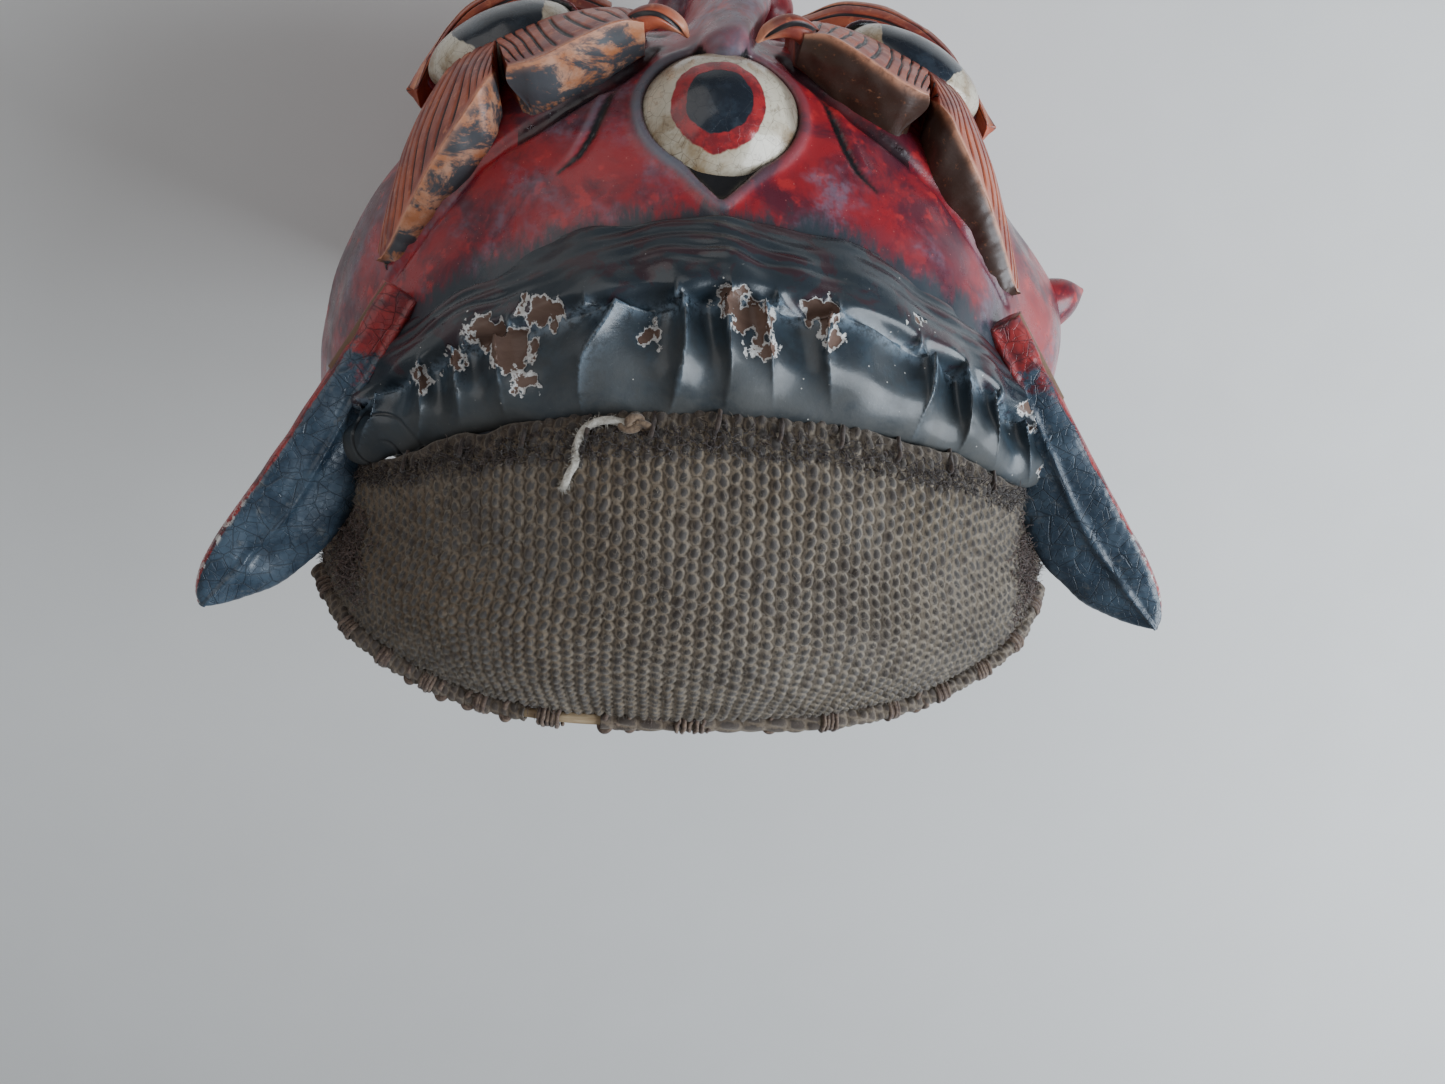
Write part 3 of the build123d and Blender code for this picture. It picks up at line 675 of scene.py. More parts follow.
def tooth_row(x, y, z, low, high, front_drop):
    """Distance to a row of eight rounded teeth that follows the face's curve."""
    nearest = 99.0
    for number in range(-4, 4):
        middle = (number + 0.5) * TOOTH_PITCH
        front = on_head(min(abs(middle), 44), (low + high) / 2, -front_drop)[1]
        u = (x - middle) / (TOOTH_PITCH / 2 - 0.35)
        v = (y - front - 5.5) / 6.0
        w = (z - (low + high) / 2) / ((high - low) / 2)
        body = (np.abs(u) ** 3 + np.abs(v) ** 2.4 + np.abs(w) ** 3.2) ** 0.36 - 1
        nearest = np.minimum(nearest, body * 5)
    return nearest


def fangs(carving):
    for sign in (1, -1):
        top = np.array(on_head(sign * 40, 97))
        line = [top, top + (sign * 1.5, -3.0, -14), top + (sign * -0.5, -4.5, -25)]
        carving.tube(line, (5.6, 4.4, 1.0), 2.0)


def teeth():
    paint = tooth_paint()
    for name, low, high, drop, gum_height, root in (("upper_teeth", 81.0, 100.0, 2.5, 97.0, 100.0),
                                                    ("lower_teeth", 57.0, 70.0, 3.5, 59.0, 57.0)):
        carving = Carving((-56, -126, low - 22), (56, -80, high + 6), TOOTH_STEP,
                          lambda x, y, z: tooth_row(x, y, z, low, high, drop))
        carving.tube([on_head(x, gum_height, -6.0) for x in (-46, -30, -12, 12, 30, 46)], (3.5,) * 6, 2.0)
        if name == "upper_teeth":
            fangs(carving)
        points, faces = carving.mesh(1)
        make_mesh(f"{name}_carved", points, faces, paint, "tooth_paint",
                  {"root": ease(6.0, 0.0, np.abs(points[:, 2] - root))}, [name])


# ------------------------------------------------------------------ hair crest
CHIPS = (                       # X, Y and reach of the places where the lacquer has flaked off
    (80, -8, 7.5), (72, -5, 9), (61, -18, 7.5), (67, 5, 5), (-3, -27, 6), (-10, -21, 7),
    (-14, -13, 4.5), (-34, -24, 6.5), (-38, -17, 4.5), (24, -14, 4), (104, 10, 4.5), (-126, 16, 5),
    (-131, 24, 4), (-136, 44, 4), (-72, -20, 3), (92, 2, 4),
)
SWIRL_X, SWIRL_Y = 121, 41
FRONT_STEPS, BACK_STEPS, HIDDEN_STEPS = 69, 109, 23


def crest_edge(column, s):
    """One edge of the crest, from a column of its stations."""
    lines = []
    for n in (0, 1):
        table = [(station[0], station[column][n]) for station in CREST_STATIONS]
        lines.append(profile([(-x, value) for x, value in table[:0:-1]] + table, 1, CREST_HALF_WIDTH * s))
    return np.stack([CREST_HALF_WIDTH * s, *lines], axis=1)


def crest_rings(s):
    """The smooth roll, with each ring point's share of the front slope and of the back."""
    hairline, ridge, top, rear = (crest_edge(column, s) for column in (1, 2, 3, 4))
    depth = 1 - 0.45 * np.abs(s)

    def shifted(edge, y, z):
        return edge + np.stack([0 * s, y + 0 * s, z * depth], axis=1)

    under_rear = rear + np.stack([0 * s, 0 * s - 2, -15 * depth], axis=1)
    deep_rear, deep_front = shifted(rear, -5, -24), shifted(hairline, 9, -13)
    swell = hairline * 0.5 + ridge * 0.5 + (0, -0.6, 1.8)
    rings = np.concatenate([
        through([hairline, swell, ridge], FRONT_STEPS + 1)[:, :-1],
        through([ridge, top, rear, under_rear], BACK_STEPS + 1)[:, :-1],
        through([under_rear, deep_rear, deep_front, hairline], HIDDEN_STEPS + 1)[:, :-1]], axis=1)
    t_front = np.concatenate([np.linspace(0, 1, FRONT_STEPS + 1)[:-1],
                              np.full(BACK_STEPS + HIDDEN_STEPS, 2.0)])
    t_back = np.concatenate([np.full(FRONT_STEPS, -1.0), np.linspace(0, 1, BACK_STEPS + 1)[:-1],
                             np.full(HIDDEN_STEPS, 2.0)])
    return rings, t_front[None], t_back[None]


def crest_pleats(s, t_front, t_back):
    """Each point's share of a scooped pleat and of the sharp fold between two, and the scoops' depth."""
    across = s * 6.4 + 0.35 * np.sin(3.1 * s * 3) + 0.16 * np.sin(4 * t_back + 9 * s)
    chance = lot(np.floor(across) * 12.9898 + 1.7)
    scoop = np.clip(np.sin(math.pi * (across - np.floor(across)) ** 0.72), 0, 1) ** 0.85
    fade = np.where(t_back >= 0, ease(0.50 + 0.30 * chance, 0.06, t_back), bell(1 - t_front, 0.10))
    fade = np.where(t_back > 1.5, 0, fade) * ease(1.0, 0.90, np.abs(s))
    return scoop * fade, (1 - scoop) ** 6 * fade, 6.2 + 4.4 * chance


def crest_chips(rings, t_front, t_back):
    """How far each point lies inside a flaked-off chip."""
    chip = np.full(rings.shape[:2], -9.0)
    for x, y, reach in CHIPS:
        chip = np.maximum(chip, reach - np.hypot((rings[..., 0] - x) * 0.9, (rings[..., 1] - y) * 1.1))
    ragged = 2.6 * uneven(rings, 3.0, 41) + 1.2 * uneven(rings, 1.3, 42)
    return np.where((t_back > 0.62) | ((t_front < 0.6) & (t_back < 0)), -9.0, chip + ragged - 1.5)


def crest_swirl(rings):
    """The spiral cut in the roll's left end."""
    x, y = rings[..., 0] - SWIRL_X, rings[..., 1] - SWIRL_Y
    gap = np.hypot(x, y)
    swirl = strokes(gap / 10.5 + 0.25 * np.arctan2(y, x), 0.07) * ease(26, 20, gap) * ease(3, 8, gap)
    return swirl * (rings[..., 2] > 255) * ease(-20, 6, x + 0.6 * y + 10)


def crest():
    """The glossy hair roll: combed front slope, pleated ridge and smooth back."""
    s = np.sin(np.linspace(-math.pi / 2, math.pi / 2, 760))
    rings, t_front, t_back = crest_rings(s)
    ends, s = np.abs(s), s[:, None]
    scoop, tip, size = crest_pleats(s, t_front, t_back)
    rings = rings + (scoop * size)[..., None] * (0, 0.75, -0.8) + tip[..., None] * (0, -0.8, 0.9)

    wave = 5.5 * t_front + 0.55 * np.sin(5.5 * s + 1) + 0.3 * np.sin(13 * s)
    strand = np.sin(math.tau * wave) * ease(0.72, 0.5, t_front) * ease(-0.02, 0.06, t_front) * (t_front < 1.5)
    strand = strand * (0.55 + 0.45 * np.sin(9 * s + 4 * t_front))
    out = outward_of(rings)
    rings = rings + out * (0.38 * strand)[..., None]
    swirl = crest_swirl(rings)
    rings = rings - out * (0.7 * swirl)[..., None]
    chip = crest_chips(rings, t_front, t_back)
    rings = rings - out * (0.75 * ease(-0.6, 0.6, chip))[..., None]
    rings = rings + out * (0.6 * uneven(rings, 11.0, 43))[..., None]
    ripple = np.sin(30 * s + 5 * t_front + 2 * np.sin(7 * s)) * ease(0.25, 0.6, t_front)
    rings = rings + out * (0.7 * ripple * (t_front < 1.01) * ease(1.0, 0.9, t_front))[..., None]

    middle = rings.mean(axis=1, keepdims=True)
    rounded = np.sqrt(np.clip(1 - (np.clip(ends - 0.90, 0, 1) / 0.1) ** 2, 0.004, 1))[:, None, None]
    points, faces = skin(middle + (rings - middle) * np.where(np.arange(3) == 0, 1, rounded))
    # Where the ridge and the pleats' sharp folds get a blue-grey painted highlight.
    ridge_highlight_share = bell(np.where(t_back >= 0, t_back, 1 - t_front), 0.05) + 0.9 * tip
    dust = np.where(t_back >= 0, ease(0.1, 0.6, t_back), 0) + 0 * s
    traits = {"chip": chip, "rub": np.clip(ridge_highlight_share, 0, 1), "strand": strand, "swirl": swirl, "dust": dust,
              "front": (t_front < 1.5) + 0 * s, "scoop": scoop}
    make_mesh("carved_crest", points, turned(points, faces), black_lacquer(), "black_lacquer", traits,
              ["crest"])


# ------------------------------------------------------------------ ears
EAR_STEPS = 260
EAR_HIGH = (9, 8.5, 8.5, 9, 9, 6)                               # the leaf's upper edge, root to tip
EAR_LOW = (-19, -20.5, -21.5, -26, -29.5, -28, -21, -10)        # and its lower edge


def ears():
    """Leaf-shaped ears: a flat front, a dished back with a midrib, and a chipped rim."""
    root, tip = np.array(EAR_ROOT), np.array(EAR_TIP)
    along = unit(tip - root)
    up = unit(np.array(EAR_LEAN) - along * (np.array(EAR_LEAN) @ along))
    back = -np.cross(along, up)
    a = np.linspace(0, 1, EAR_STEPS)[:, None] ** 0.9
    end = np.sqrt(np.clip(1 - (np.clip(a - 0.88, 0, 1) / 0.12) ** 2, 0.003, 1))
    high, low = (through([[value] for value in edge], EAR_STEPS) * end for edge in (EAR_HIGH, EAR_LOW))
    turn = full_turn(160)[None]
    w, side = np.cos(turn), np.sin(turn)
    thick = 6.6 - 2.4 * a
    lift = np.where(side > 0, thick * np.abs(side) ** 0.75, -thick * np.abs(side) ** 0.42)
    dish = np.where(side < 0, thick * 1.05 * (1 - w**2) ** 1.6, 0)
    midrib = np.where(side > 0, 1.6 * bell(w - 0.25, 0.10), 0)
    bow = 3.0 * np.sin(math.pi * np.clip(a, 0, 1))
    leaf = up * ((high + low) / 2 + (high - low) / 2 * w)[..., None]
    leaf = (root + along * (a * np.linalg.norm(tip - root)))[:, None] + leaf
    rings = leaf + back * (lift + dish + midrib + bow)[..., None]
    brushed = 0.45 * uneven(rings, 9.0, 51) + 0.08 * uneven(rings, 2.0, 52)
    rings = rings + outward_of(rings) * (brushed * (side > 0))[..., None]
    dent = np.exp(-(((a - 0.80) / 0.05) ** 2 + ((w - 0.1) / 0.35) ** 2)) * (side > 0)
    rings = rings - back * (1.6 * dent)[..., None]
    traits = {"rim": bell(w - 1, 0.035) + 0 * a, "base": ease(0.34, 0.05, a) + 0 * w,
              "front": ease(0.05, -0.15, side) + 0 * a, "chip": bell(w - 0.98, 0.03) * ease(0.55, 0.8, a)}
    make_pair("ear", rings, ear_paint(), "black_lacquer", traits, lean=1.0)


# ------------------------------------------------------------------ a small builder for materials
class Paint:
    """One material's nodes, placed by the piece's own coordinates in metres, and its colour so far."""

    def __init__(self, name, **fixed):
        self.material = bpy.data.materials.new(name)
        self.material.use_nodes = True
        self.tree = self.material.node_tree
        self.shader = self.tree.nodes["Principled BSDF"]
        self.place = self.node("ShaderNodeTexCoord").outputs["Object"]
        self.colour = None
        for socket, value in fixed.items():
            self.feed(self.shader.inputs[socket.replace("_", " ")], value)

    def node(self, kind, settings=(), **sockets):
        node = self.tree.nodes.new(kind)
        for name, value in dict(settings).items():
            setattr(node, name, value)
        for name, value in sockets.items():
            self.feed(node.inputs[name.replace("_", " ")], value)
        return node

    def feed(self, socket, value):
        if isinstance(value, bpy.types.NodeSocket):
            self.tree.links.new(value, socket)
        else:
            socket.default_value = (*value, 1) if isinstance(value, tuple) and len(value) == 3 else value

    def noise(self, feature_mm, detail=4.0, roughness=0.6, distortion=0.0, place=None):
        return self.node("ShaderNodeTexNoise", Vector=place or self.place, Scale=1000 / feature_mm / 2,
                         Detail=detail, Roughness=roughness, Distortion=distortion).outputs["Fac"]

    def cells(self, feature_mm, feature="F1"):
        return self.node("ShaderNodeTexVoronoi", {"feature": feature}, Vector=self.place,
                         Scale=1000 / feature_mm).outputs["Distance"]

    def stretched(self, x, y, z, turn=0.0):
        node = self.node("ShaderNodeMapping", Vector=self.place)
        node.inputs["Scale"].default_value = (x, y, z)
        node.inputs["Rotation"].default_value = (0, 0, math.radians(turn))
        return node.outputs["Vector"]

    def trait(self, name):
        return self.node("ShaderNodeAttribute", {"attribute_name": name}).outputs["Fac"]

    def level(self, value, low, high, start=0.0, end=1.0):
        """start where the value is low, end where it is high, and a smooth turn between."""
        node = self.node("ShaderNodeMapRange", {"interpolation_type": "SMOOTHSTEP"}, Value=value,
                         From_Min=low, From_Max=high, To_Min=start, To_Max=end)
        return node.outputs["Result"]

    def between(self, noise, start, end):
        """An uneven number between two ends, as a noise with those settings goes."""
        return self.level(self.noise(*noise), 0.3, 0.7, start, end)

    def math(self, operation, a, b):
        node = self.node("ShaderNodeMath", {"operation": operation})
        self.feed(node.inputs[0], a)
        self.feed(node.inputs[1], b)
        return node.outputs[0]

    def plus(self, a, b):
        return self.math("ADD", a, b)

    def times(self, a, b):
        return self.math("MULTIPLY", a, b)

    def mix(self, share, a, b):
        node = self.node("ShaderNodeMix", {"data_type": "RGBA"})
        self.feed(node.inputs["Factor"], share)
        for name, tone in (("A", a), ("B", b)):
            self.feed([s for s in node.inputs if s.name == name and s.type == "RGBA"][0], tone)
        return [s for s in node.outputs if s.type == "RGBA"][0]

    def blend(self, noise, low, high, a, b):
        """Tone a where a noise with those settings is low, and b where it is high."""
        return self.mix(self.level(self.noise(*noise), low, high), a, b)

    def lay(self, share, tone):
        """Lays a tone over the colour so far."""
        self.colour = self.mix(share, self.colour, tone)

    def spots(self, noise, low, high, tone, most=1.0):
        """Lays a tone over the colour so far, in spots."""
        self.lay(self.level(self.noise(*noise), low, high, 0, most), tone)

    def bump(self, height, depth_mm, strength, under=None):
        node = self.node("ShaderNodeBump", Height=height, Strength=strength, Distance=depth_mm * MM)
        if under is not None:
            self.tree.links.new(under, node.inputs["Normal"])
        return node.outputs["Normal"]

    def finish(self, roughness, normal=None):
        self.feed(self.shader.inputs["Base Color"], self.colour)
        self.feed(self.shader.inputs["Roughness"], roughness)
        if normal is not None:
            self.tree.links.new(normal, self.shader.inputs["Normal"])
        return self.material


def red_lacquer():
    """Crimson lacquer gone blotchy, with patches of painted sheen, painted shade in its cuts and gaps,
    painted highlight and shade on its blue-grey rims, and bare wood inside the shell.
    """
    paint = Paint("red_lacquer", Coat_Weight=0.12, Coat_Roughness=0.25)
    paint.colour = paint.blend((13, 5, 0.66, 0.5), 0.40, 0.62, (0.34, 0.016, 0.024), (0.105, 0.013, 0.026))
    paint.spots((4.5, 3, 0.6), 0.56, 0.68, (0.52, 0.030, 0.032), 0.7)
    paint.spots((34, 4, 0.6, 0.3), 0.50, 0.68, (0.055, 0.028, 0.045), 0.8)
    # Pale blue-grey patches: painted sheen of the window light on the lacquer.
    painted_sheen = paint.times(paint.level(paint.noise(26, 4, 0.6, 0.6), 0.48, 0.64),
                       paint.level(paint.noise(2.2, 2, 0.7), 0.35, 0.65, 0.25, 1.0))
    paint.lay(paint.times(painted_sheen, 0.6), (0.19, 0.17, 0.23))
    paint.lay(paint.level(paint.cells(3.1), 0.10, 0.05, 0, 0.5), (0.60, 0.20, 0.17))
    paint.lay(paint.times(paint.trait("lips"), 0.55), (0.30, 0.012, 0.016))
    brushed = paint.noise(2.6, 4, 0.7, 0.3, paint.stretched(1.0, 0.35, 0.35))
    hairline = paint.plus(paint.trait("hairline"), paint.level(brushed, 0.25, 0.75, -5, 4))
    paint.lay(paint.level(hairline, -8, 1, 0, 0.93), (0.028, 0.045, 0.056))
    # Blue-grey painted highlight on the lid ridge and crease lip, and painted shade at the nose's root.
    paint.lay(paint.trait("rim"), (0.12, 0.15, 0.18))
    # Near-black painted shade in the cuts, gaps and hollows.
    paint.lay(paint.trait("dark"), (0.008, 0.008, 0.010))
    grain = paint.noise(3.0, 5, 0.65, 1.2, paint.stretched(1, 1, 0.12))
    inside = paint.trait("inside")
    paint.lay(inside, paint.mix(grain, (0.10, 0.055, 0.03), (0.30, 0.17, 0.09)))
    rough = paint.plus(paint.between((7, 4, 0.6), 0.22, 0.45), paint.times(inside, 0.42))
    brush = paint.bump(paint.noise(2.6, 4, 0.6), 0.18, 0.6)
    return paint.finish(rough, paint.bump(paint.noise(0.7, 3, 0.6), 0.05, 0.5, brush))


def orange_lacquer():
    """Orange paint with painted shade in its comb cuts, and an upper wall worn through a dark coat, painted
    bluer and more worn on the left pieces as painted sky reflection and darker and more covered on the right
    as painted shade.
    """
    paint = Paint("orange_lacquer", Coat_Weight=0.2, Coat_Roughness=0.25)
    # side: the left walls get a blue-grey painted sky reflection and less cover, the right walls a near-black
    # painted shade and more cover.
    side = paint.trait("side")
    streaks = paint.stretched(0.55, 1.0, 1.0, 38)
    cover = paint.plus(paint.noise(5, 5, 0.72, 0.4, streaks), paint.level(side, 0, 1, 0.17, -0.02))
    worn = paint.blend((4.0, 4, 0.7), 0.35, 0.65, (0.52, 0.19, 0.08), (0.62, 0.33, 0.21))
    # The dark coat's tone per side: near-black painted shade on the right, blue-grey painted reflection on
    # the left.
    coat = paint.mix(paint.level(side, 0, 1), (0.017, 0.008, 0.006), (0.052, 0.072, 0.088))
    paint.colour = paint.mix(paint.level(cover, 0.41, 0.53, 0, 0.95), worn, coat)
    paint.spots((1.6, 3, 0.7), 0.60, 0.72, (0.34, 0.12, 0.05), 0.35)
    wall = paint.colour
    paint.colour = paint.blend((9, 4, 0.6), 0.35, 0.65, (0.44, 0.095, 0.040), (0.21, 0.036, 0.026))
    paint.spots((2.4, 3, 0.7), 0.55, 0.7, (0.60, 0.19, 0.085), 0.6)
    paint.lay(paint.trait("wall"), wall)
    wear = paint.times(paint.trait("edge"), paint.level(paint.noise(3, 3, 0.7), 0.3, 0.6, 0.3, 1))
    paint.lay(paint.times(wear, 0.75), (0.74, 0.34, 0.20))
    # Near-black painted shade in the comb grooves.
    paint.lay(paint.level(paint.trait("groove"), 0.25, 0.75), (0.014, 0.010, 0.012))
    flakes = paint.bump(cover, 0.35, 0.5)
    return paint.finish(paint.between((6, 4, 0.6), 0.32, 0.58),
                        paint.bump(paint.noise(1.1, 4, 0.65), 0.12, 0.6, flakes))


def eye_paint(name, pupil, iris):
    """Ivory paint with stains and fine cracks round a red ring and a navy pupil, and painted shade at the
    ball's margin by the lid.
    """
    paint = Paint(name, Coat_Weight=0.55, Coat_Roughness=0.10)
    away = paint.plus(paint.trait("away"), paint.level(paint.noise(6, 3, 0.6), 0.2, 0.8, -0.9, 0.9))
    paint.colour = paint.blend((14, 5, 0.7, 0.4), 0.42, 0.66, (0.66, 0.60, 0.47), (0.34, 0.235, 0.125))
    paint.spots((1.7, 4, 0.75), 0.52, 0.72, (0.17, 0.11, 0.06), 0.65)
    # Brown darkening at the ball's margin by the lid: painted shade, strong on the third eye, faint on the
    # side eyes.
    grime_and_shade = 0.6 if iris > pupil + 1 else 0.1
    paint.lay(paint.level(away, 24, 28.5, 0, grime_and_shade), (0.10, 0.065, 0.045))
    cracks = paint.level(paint.cells(5.5, "DISTANCE_TO_EDGE"), 0.018, 0.004, 0, 0.55)
    paint.lay(cracks, (0.12, 0.08, 0.05))
    ring = paint.blend((2.5, 3, 0.7), 0.4, 0.62, (0.38, 0.018, 0.022), (0.20, 0.012, 0.018))
    navy = paint.blend((5, 4, 0.7), 0.45, 0.7, (0.006, 0.011, 0.020), (0.022, 0.034, 0.050))
    for edge, tone in ((iris, ring), (pupil, navy)):
        paint.colour = paint.mix(paint.level(away, edge - 0.25, edge + 0.25), tone, paint.colour)
    step = paint.bump(paint.level(away, pupil - 0.3, pupil + 0.1), 0.10, 0.6)
    cracked = paint.bump(cracks, -0.1, 0.5, step)
    return paint.finish(paint.between((4, 3, 0.6), 0.18, 0.38),
                        paint.bump(paint.noise(1.2, 4, 0.7), 0.10, 0.5, cracked))


def tooth_paint():
    """Old ivory paint, browner at the root."""
    paint = Paint("tooth_paint", Coat_Weight=0.3, Coat_Roughness=0.2)
    paint.colour = paint.blend((6, 4, 0.65), 0.4, 0.65, (0.68, 0.60, 0.44), (0.42, 0.31, 0.18))
    paint.lay(paint.times(paint.trait("root"), 0.85), (0.13, 0.05, 0.03))
    paint.spots((1.3, 3, 0.7), 0.6, 0.75, (0.16, 0.10, 0.05), 0.6)
    return paint.finish(paint.between((3, 3, 0.6), 0.28, 0.5),
                        paint.bump(paint.noise(1.5, 4, 0.65), 0.15, 0.6))


def black_lacquer():
    """Thick black lacquer: bright on top, dusty behind, with a blue-grey painted highlight on its ridge,
    painted sky reflection in its scoops, painted shade in its spiral cut, and chipped to the wood.
    """
    paint = Paint("black_lacquer", Coat_Weight=0.3, Coat_Roughness=0.2)
    paint.colour = paint.blend((18, 4, 0.6), 0.35, 0.65, (0.018, 0.028, 0.038), (0.034, 0.043, 0.050))
    strand = paint.plus(paint.times(paint.trait("strand"), 0.6), paint.between((9, 4, 0.6, 0.8), -0.5, 0.6))
    purple = paint.times(paint.level(strand, 0.05, 0.45), paint.trait("front"))
    paint.lay(paint.times(purple, 0.8), (0.042, 0.014, 0.020))
    grime_and_shade = paint.times(paint.trait("dust"), paint.level(paint.noise(11, 5, 0.7, 0.3), 0.30, 0.62, 0.25, 1))
    paint.lay(paint.times(grime_and_shade, 0.62), (0.090, 0.088, 0.080))
    # Blue-grey painted highlight along the ridge and the pleats' folds.
    rub = paint.times(paint.trait("rub"), paint.level(paint.noise(2.2, 4, 0.75), 0.38, 0.6))
    paint.lay(paint.times(rub, 0.75), (0.20, 0.27, 0.34))
    # Blue painted sky reflection in the pleats' scoops.
    scoop_reflection = paint.times(paint.trait("scoop"), paint.level(paint.noise(6, 3, 0.7), 0.4, 0.65, 0, 0.5))
    paint.lay(scoop_reflection, (0.050, 0.085, 0.115))
    paint.spots((1.2, 3, 0.8, 2.0), 0.66, 0.74, (0.22, 0.22, 0.21), 0.5)
    paint.lay(paint.level(paint.cells(7.0), 0.055, 0.03, 0, 0.8), (0.62, 0.60, 0.55))
    # Near-black painted shade in the spiral cut.
    paint.lay(paint.times(paint.trait("swirl"), 0.8), (0.008, 0.008, 0.009))
    chip = paint.plus(paint.trait("chip"), paint.level(paint.noise(1.3, 3, 0.7), 0.2, 0.8, -1.5, 1.3))
    gesso = paint.mix(paint.noise(2, 3, 0.7), (0.55, 0.53, 0.50), (0.78, 0.77, 0.75))
    grain = paint.noise(2.2, 4, 0.7, 0.6, paint.stretched(0.25, 1, 1))
    paint.lay(paint.level(chip, -1.1, -0.8), gesso)
    paint.lay(paint.level(chip, 0.15, 0.6), paint.mix(grain, (0.075, 0.036, 0.024), (0.20, 0.12, 0.085)))
    bare = paint.level(chip, -0.95, -0.55)
    rough = paint.plus(paint.between((10, 4, 0.65), 0.22, 0.44),
                       paint.times(paint.math("MAXIMUM", bare, grime_and_shade), 0.36))
    brush = paint.bump(paint.noise(3.2, 4, 0.65), 0.22, 0.6)
    fine = paint.bump(paint.noise(0.8, 3, 0.65), 0.06, 0.5, brush)
    return paint.finish(rough, paint.bump(bare, -0.35, 0.8, fine))


def ear_paint():
    """Crackled blue-black paint, its blue partly a painted sky reflection, dusty on the back, with a red rim,
    root and inside.
    """
    paint = Paint("ear_lacquer", Coat_Weight=0.3, Coat_Roughness=0.2)
    # Black paint, its bluer patches partly a painted sky reflection.
    paint.colour = paint.blend((7, 5, 0.7), 0.35, 0.62, (0.020, 0.038, 0.062), (0.055, 0.088, 0.125))
    paint.spots((3.0, 4, 0.75), 0.56, 0.72, (0.14, 0.145, 0.145), 0.6)
    red = paint.blend((8, 4, 0.65), 0.4, 0.62, (0.36, 0.026, 0.026), (0.09, 0.016, 0.024))
    place = paint.math("MAXIMUM", paint.trait("rim"), paint.trait("front"))
    place = paint.math("MAXIMUM", place, paint.trait("base"))
    redness = paint.plus(place, paint.level(paint.noise(3.4, 4, 0.7), 0.25, 0.7, -0.45, 0.35))
    paint.lay(paint.level(redness, 0.35, 0.75), red)
    crackle = paint.math("MAXIMUM", paint.level(paint.cells(9.0, "DISTANCE_TO_EDGE"), 0.030, 0.006),
                         paint.level(paint.cells(3.4, "DISTANCE_TO_EDGE"), 0.05, 0.01, 0, 0.5))
    paint.lay(paint.times(crackle, 0.45), (0.010, 0.012, 0.016))
    flake = paint.times(paint.trait("chip"), paint.level(paint.noise(1.6, 4, 0.7), 0.52, 0.60))
    paint.lay(flake, (0.66, 0.64, 0.60))
    brush = paint.bump(paint.noise(5.0, 5, 0.7, 0.6), 0.28, 0.5)
    return paint.finish(paint.between((6, 4, 0.65), 0.26, 0.55), paint.bump(crackle, -0.35, 0.7, brush))


def bare_wood():
    """Dark old wood with a fine lengthwise grain."""
    paint = Paint("bare_wood")
    grain = paint.noise(2.0, 5, 0.7, 0.8, paint.stretched(1, 1, 0.15))
    paint.colour = paint.mix(grain, (0.07, 0.035, 0.02), (0.26, 0.15, 0.085))
    return paint.finish(paint.level(grain, 0.3, 0.7, 0.55, 0.8), paint.bump(grain, 0.3, 0.7))


def wool_paint():
    """Dusty knitted wool: dark matted loops with pale fibres caught between them, painted shade deep between
    the loops and under the crest's edge, browner and darker towards +X partly as painted shade.
    """
    paint = Paint("hood_wool", Sheen_Weight=0.45, Sheen_Roughness=0.6, Specular_IOR_Level=0.15,
                  Sheen_Tint=(0.75, 0.68, 0.58))
    side = paint.node("ShaderNodeSeparateXYZ", Vector=paint.place).outputs["X"]
    dark = paint.blend((24, 4, 0.6), 0.35, 0.65, (0.042, 0.034, 0.031), (0.078, 0.072, 0.070))
    # Browner and darker towards +X, away from the window light: partly the wool's own tone, partly painted
    # shade.
    paint.colour = paint.mix(paint.level(side, -0.12, 0.13), (0.255, 0.21, 0.155), (0.19, 0.140, 0.094))
    paint.spots((30, 4, 0.6), 0.35, 0.65, (0.24, 0.205, 0.165), 0.7)
    strands = paint.noise(0.9, 5, 0.85, 1.5, paint.stretched(1.0, 0.45, 1.0))
    # Dark brown painted shade in the hollows between the loops.
    valley_shade = paint.plus(paint.trait("bead"), paint.level(strands, 0.3, 0.7, -0.06, 0.12))
    paint.colour = paint.mix(paint.level(valley_shade, 0.0, 0.16), (0.085, 0.064, 0.046), paint.colour)
    covered = paint.plus(paint.trait("bead"), paint.level(strands, 0.3, 0.7, 0.30, -0.30))
    covered = paint.plus(covered, paint.between((20, 4, 0.6), -0.16, 0.10))
    paint.lay(paint.level(covered, 0.30, 0.62), dark)
    paint.lay(paint.level(strands, 0.60, 0.74, 0, 0.55), (0.40, 0.345, 0.26))
    paint.lay(paint.level(paint.trait("lot"), 0.82, 0.86, 0, 0.35), (0.045, 0.033, 0.032))
    # Near-black painted shadow along the front edge, under the crest's overhanging rear edge.
    paint.lay(paint.times(paint.trait("crest_shadow"), 0.72), (0.036, 0.025, 0.024))
    paint.lay(paint.times(paint.trait("hem"), 0.55), (0.10, 0.07, 0.055))
    matted = paint.bump(paint.noise(1.6, 4, 0.7), 0.5, 0.6)
    return paint.finish(paint.level(strands, 0.3, 0.7, 0.82, 0.95), paint.bump(strands, 0.55, 0.9, matted))


def yarn_paint(name, light, dark):
    """A spun strand with fine lengthwise hairs."""
    paint = Paint(name, Sheen_Weight=0.3, Sheen_Roughness=0.5, Specular_IOR_Level=0.2)
    hairs = paint.noise(0.7, 4, 0.75, 1.0)
    paint.colour = paint.mix(paint.level(hairs, 0.32, 0.68), dark, light)
    paint.spots((7, 3, 0.6), 0.4, 0.7, dark, 0.5)
    return paint.finish(paint.level(hairs, 0.3, 0.7, 0.75, 0.92), paint.bump(hairs, 0.25, 0.8))


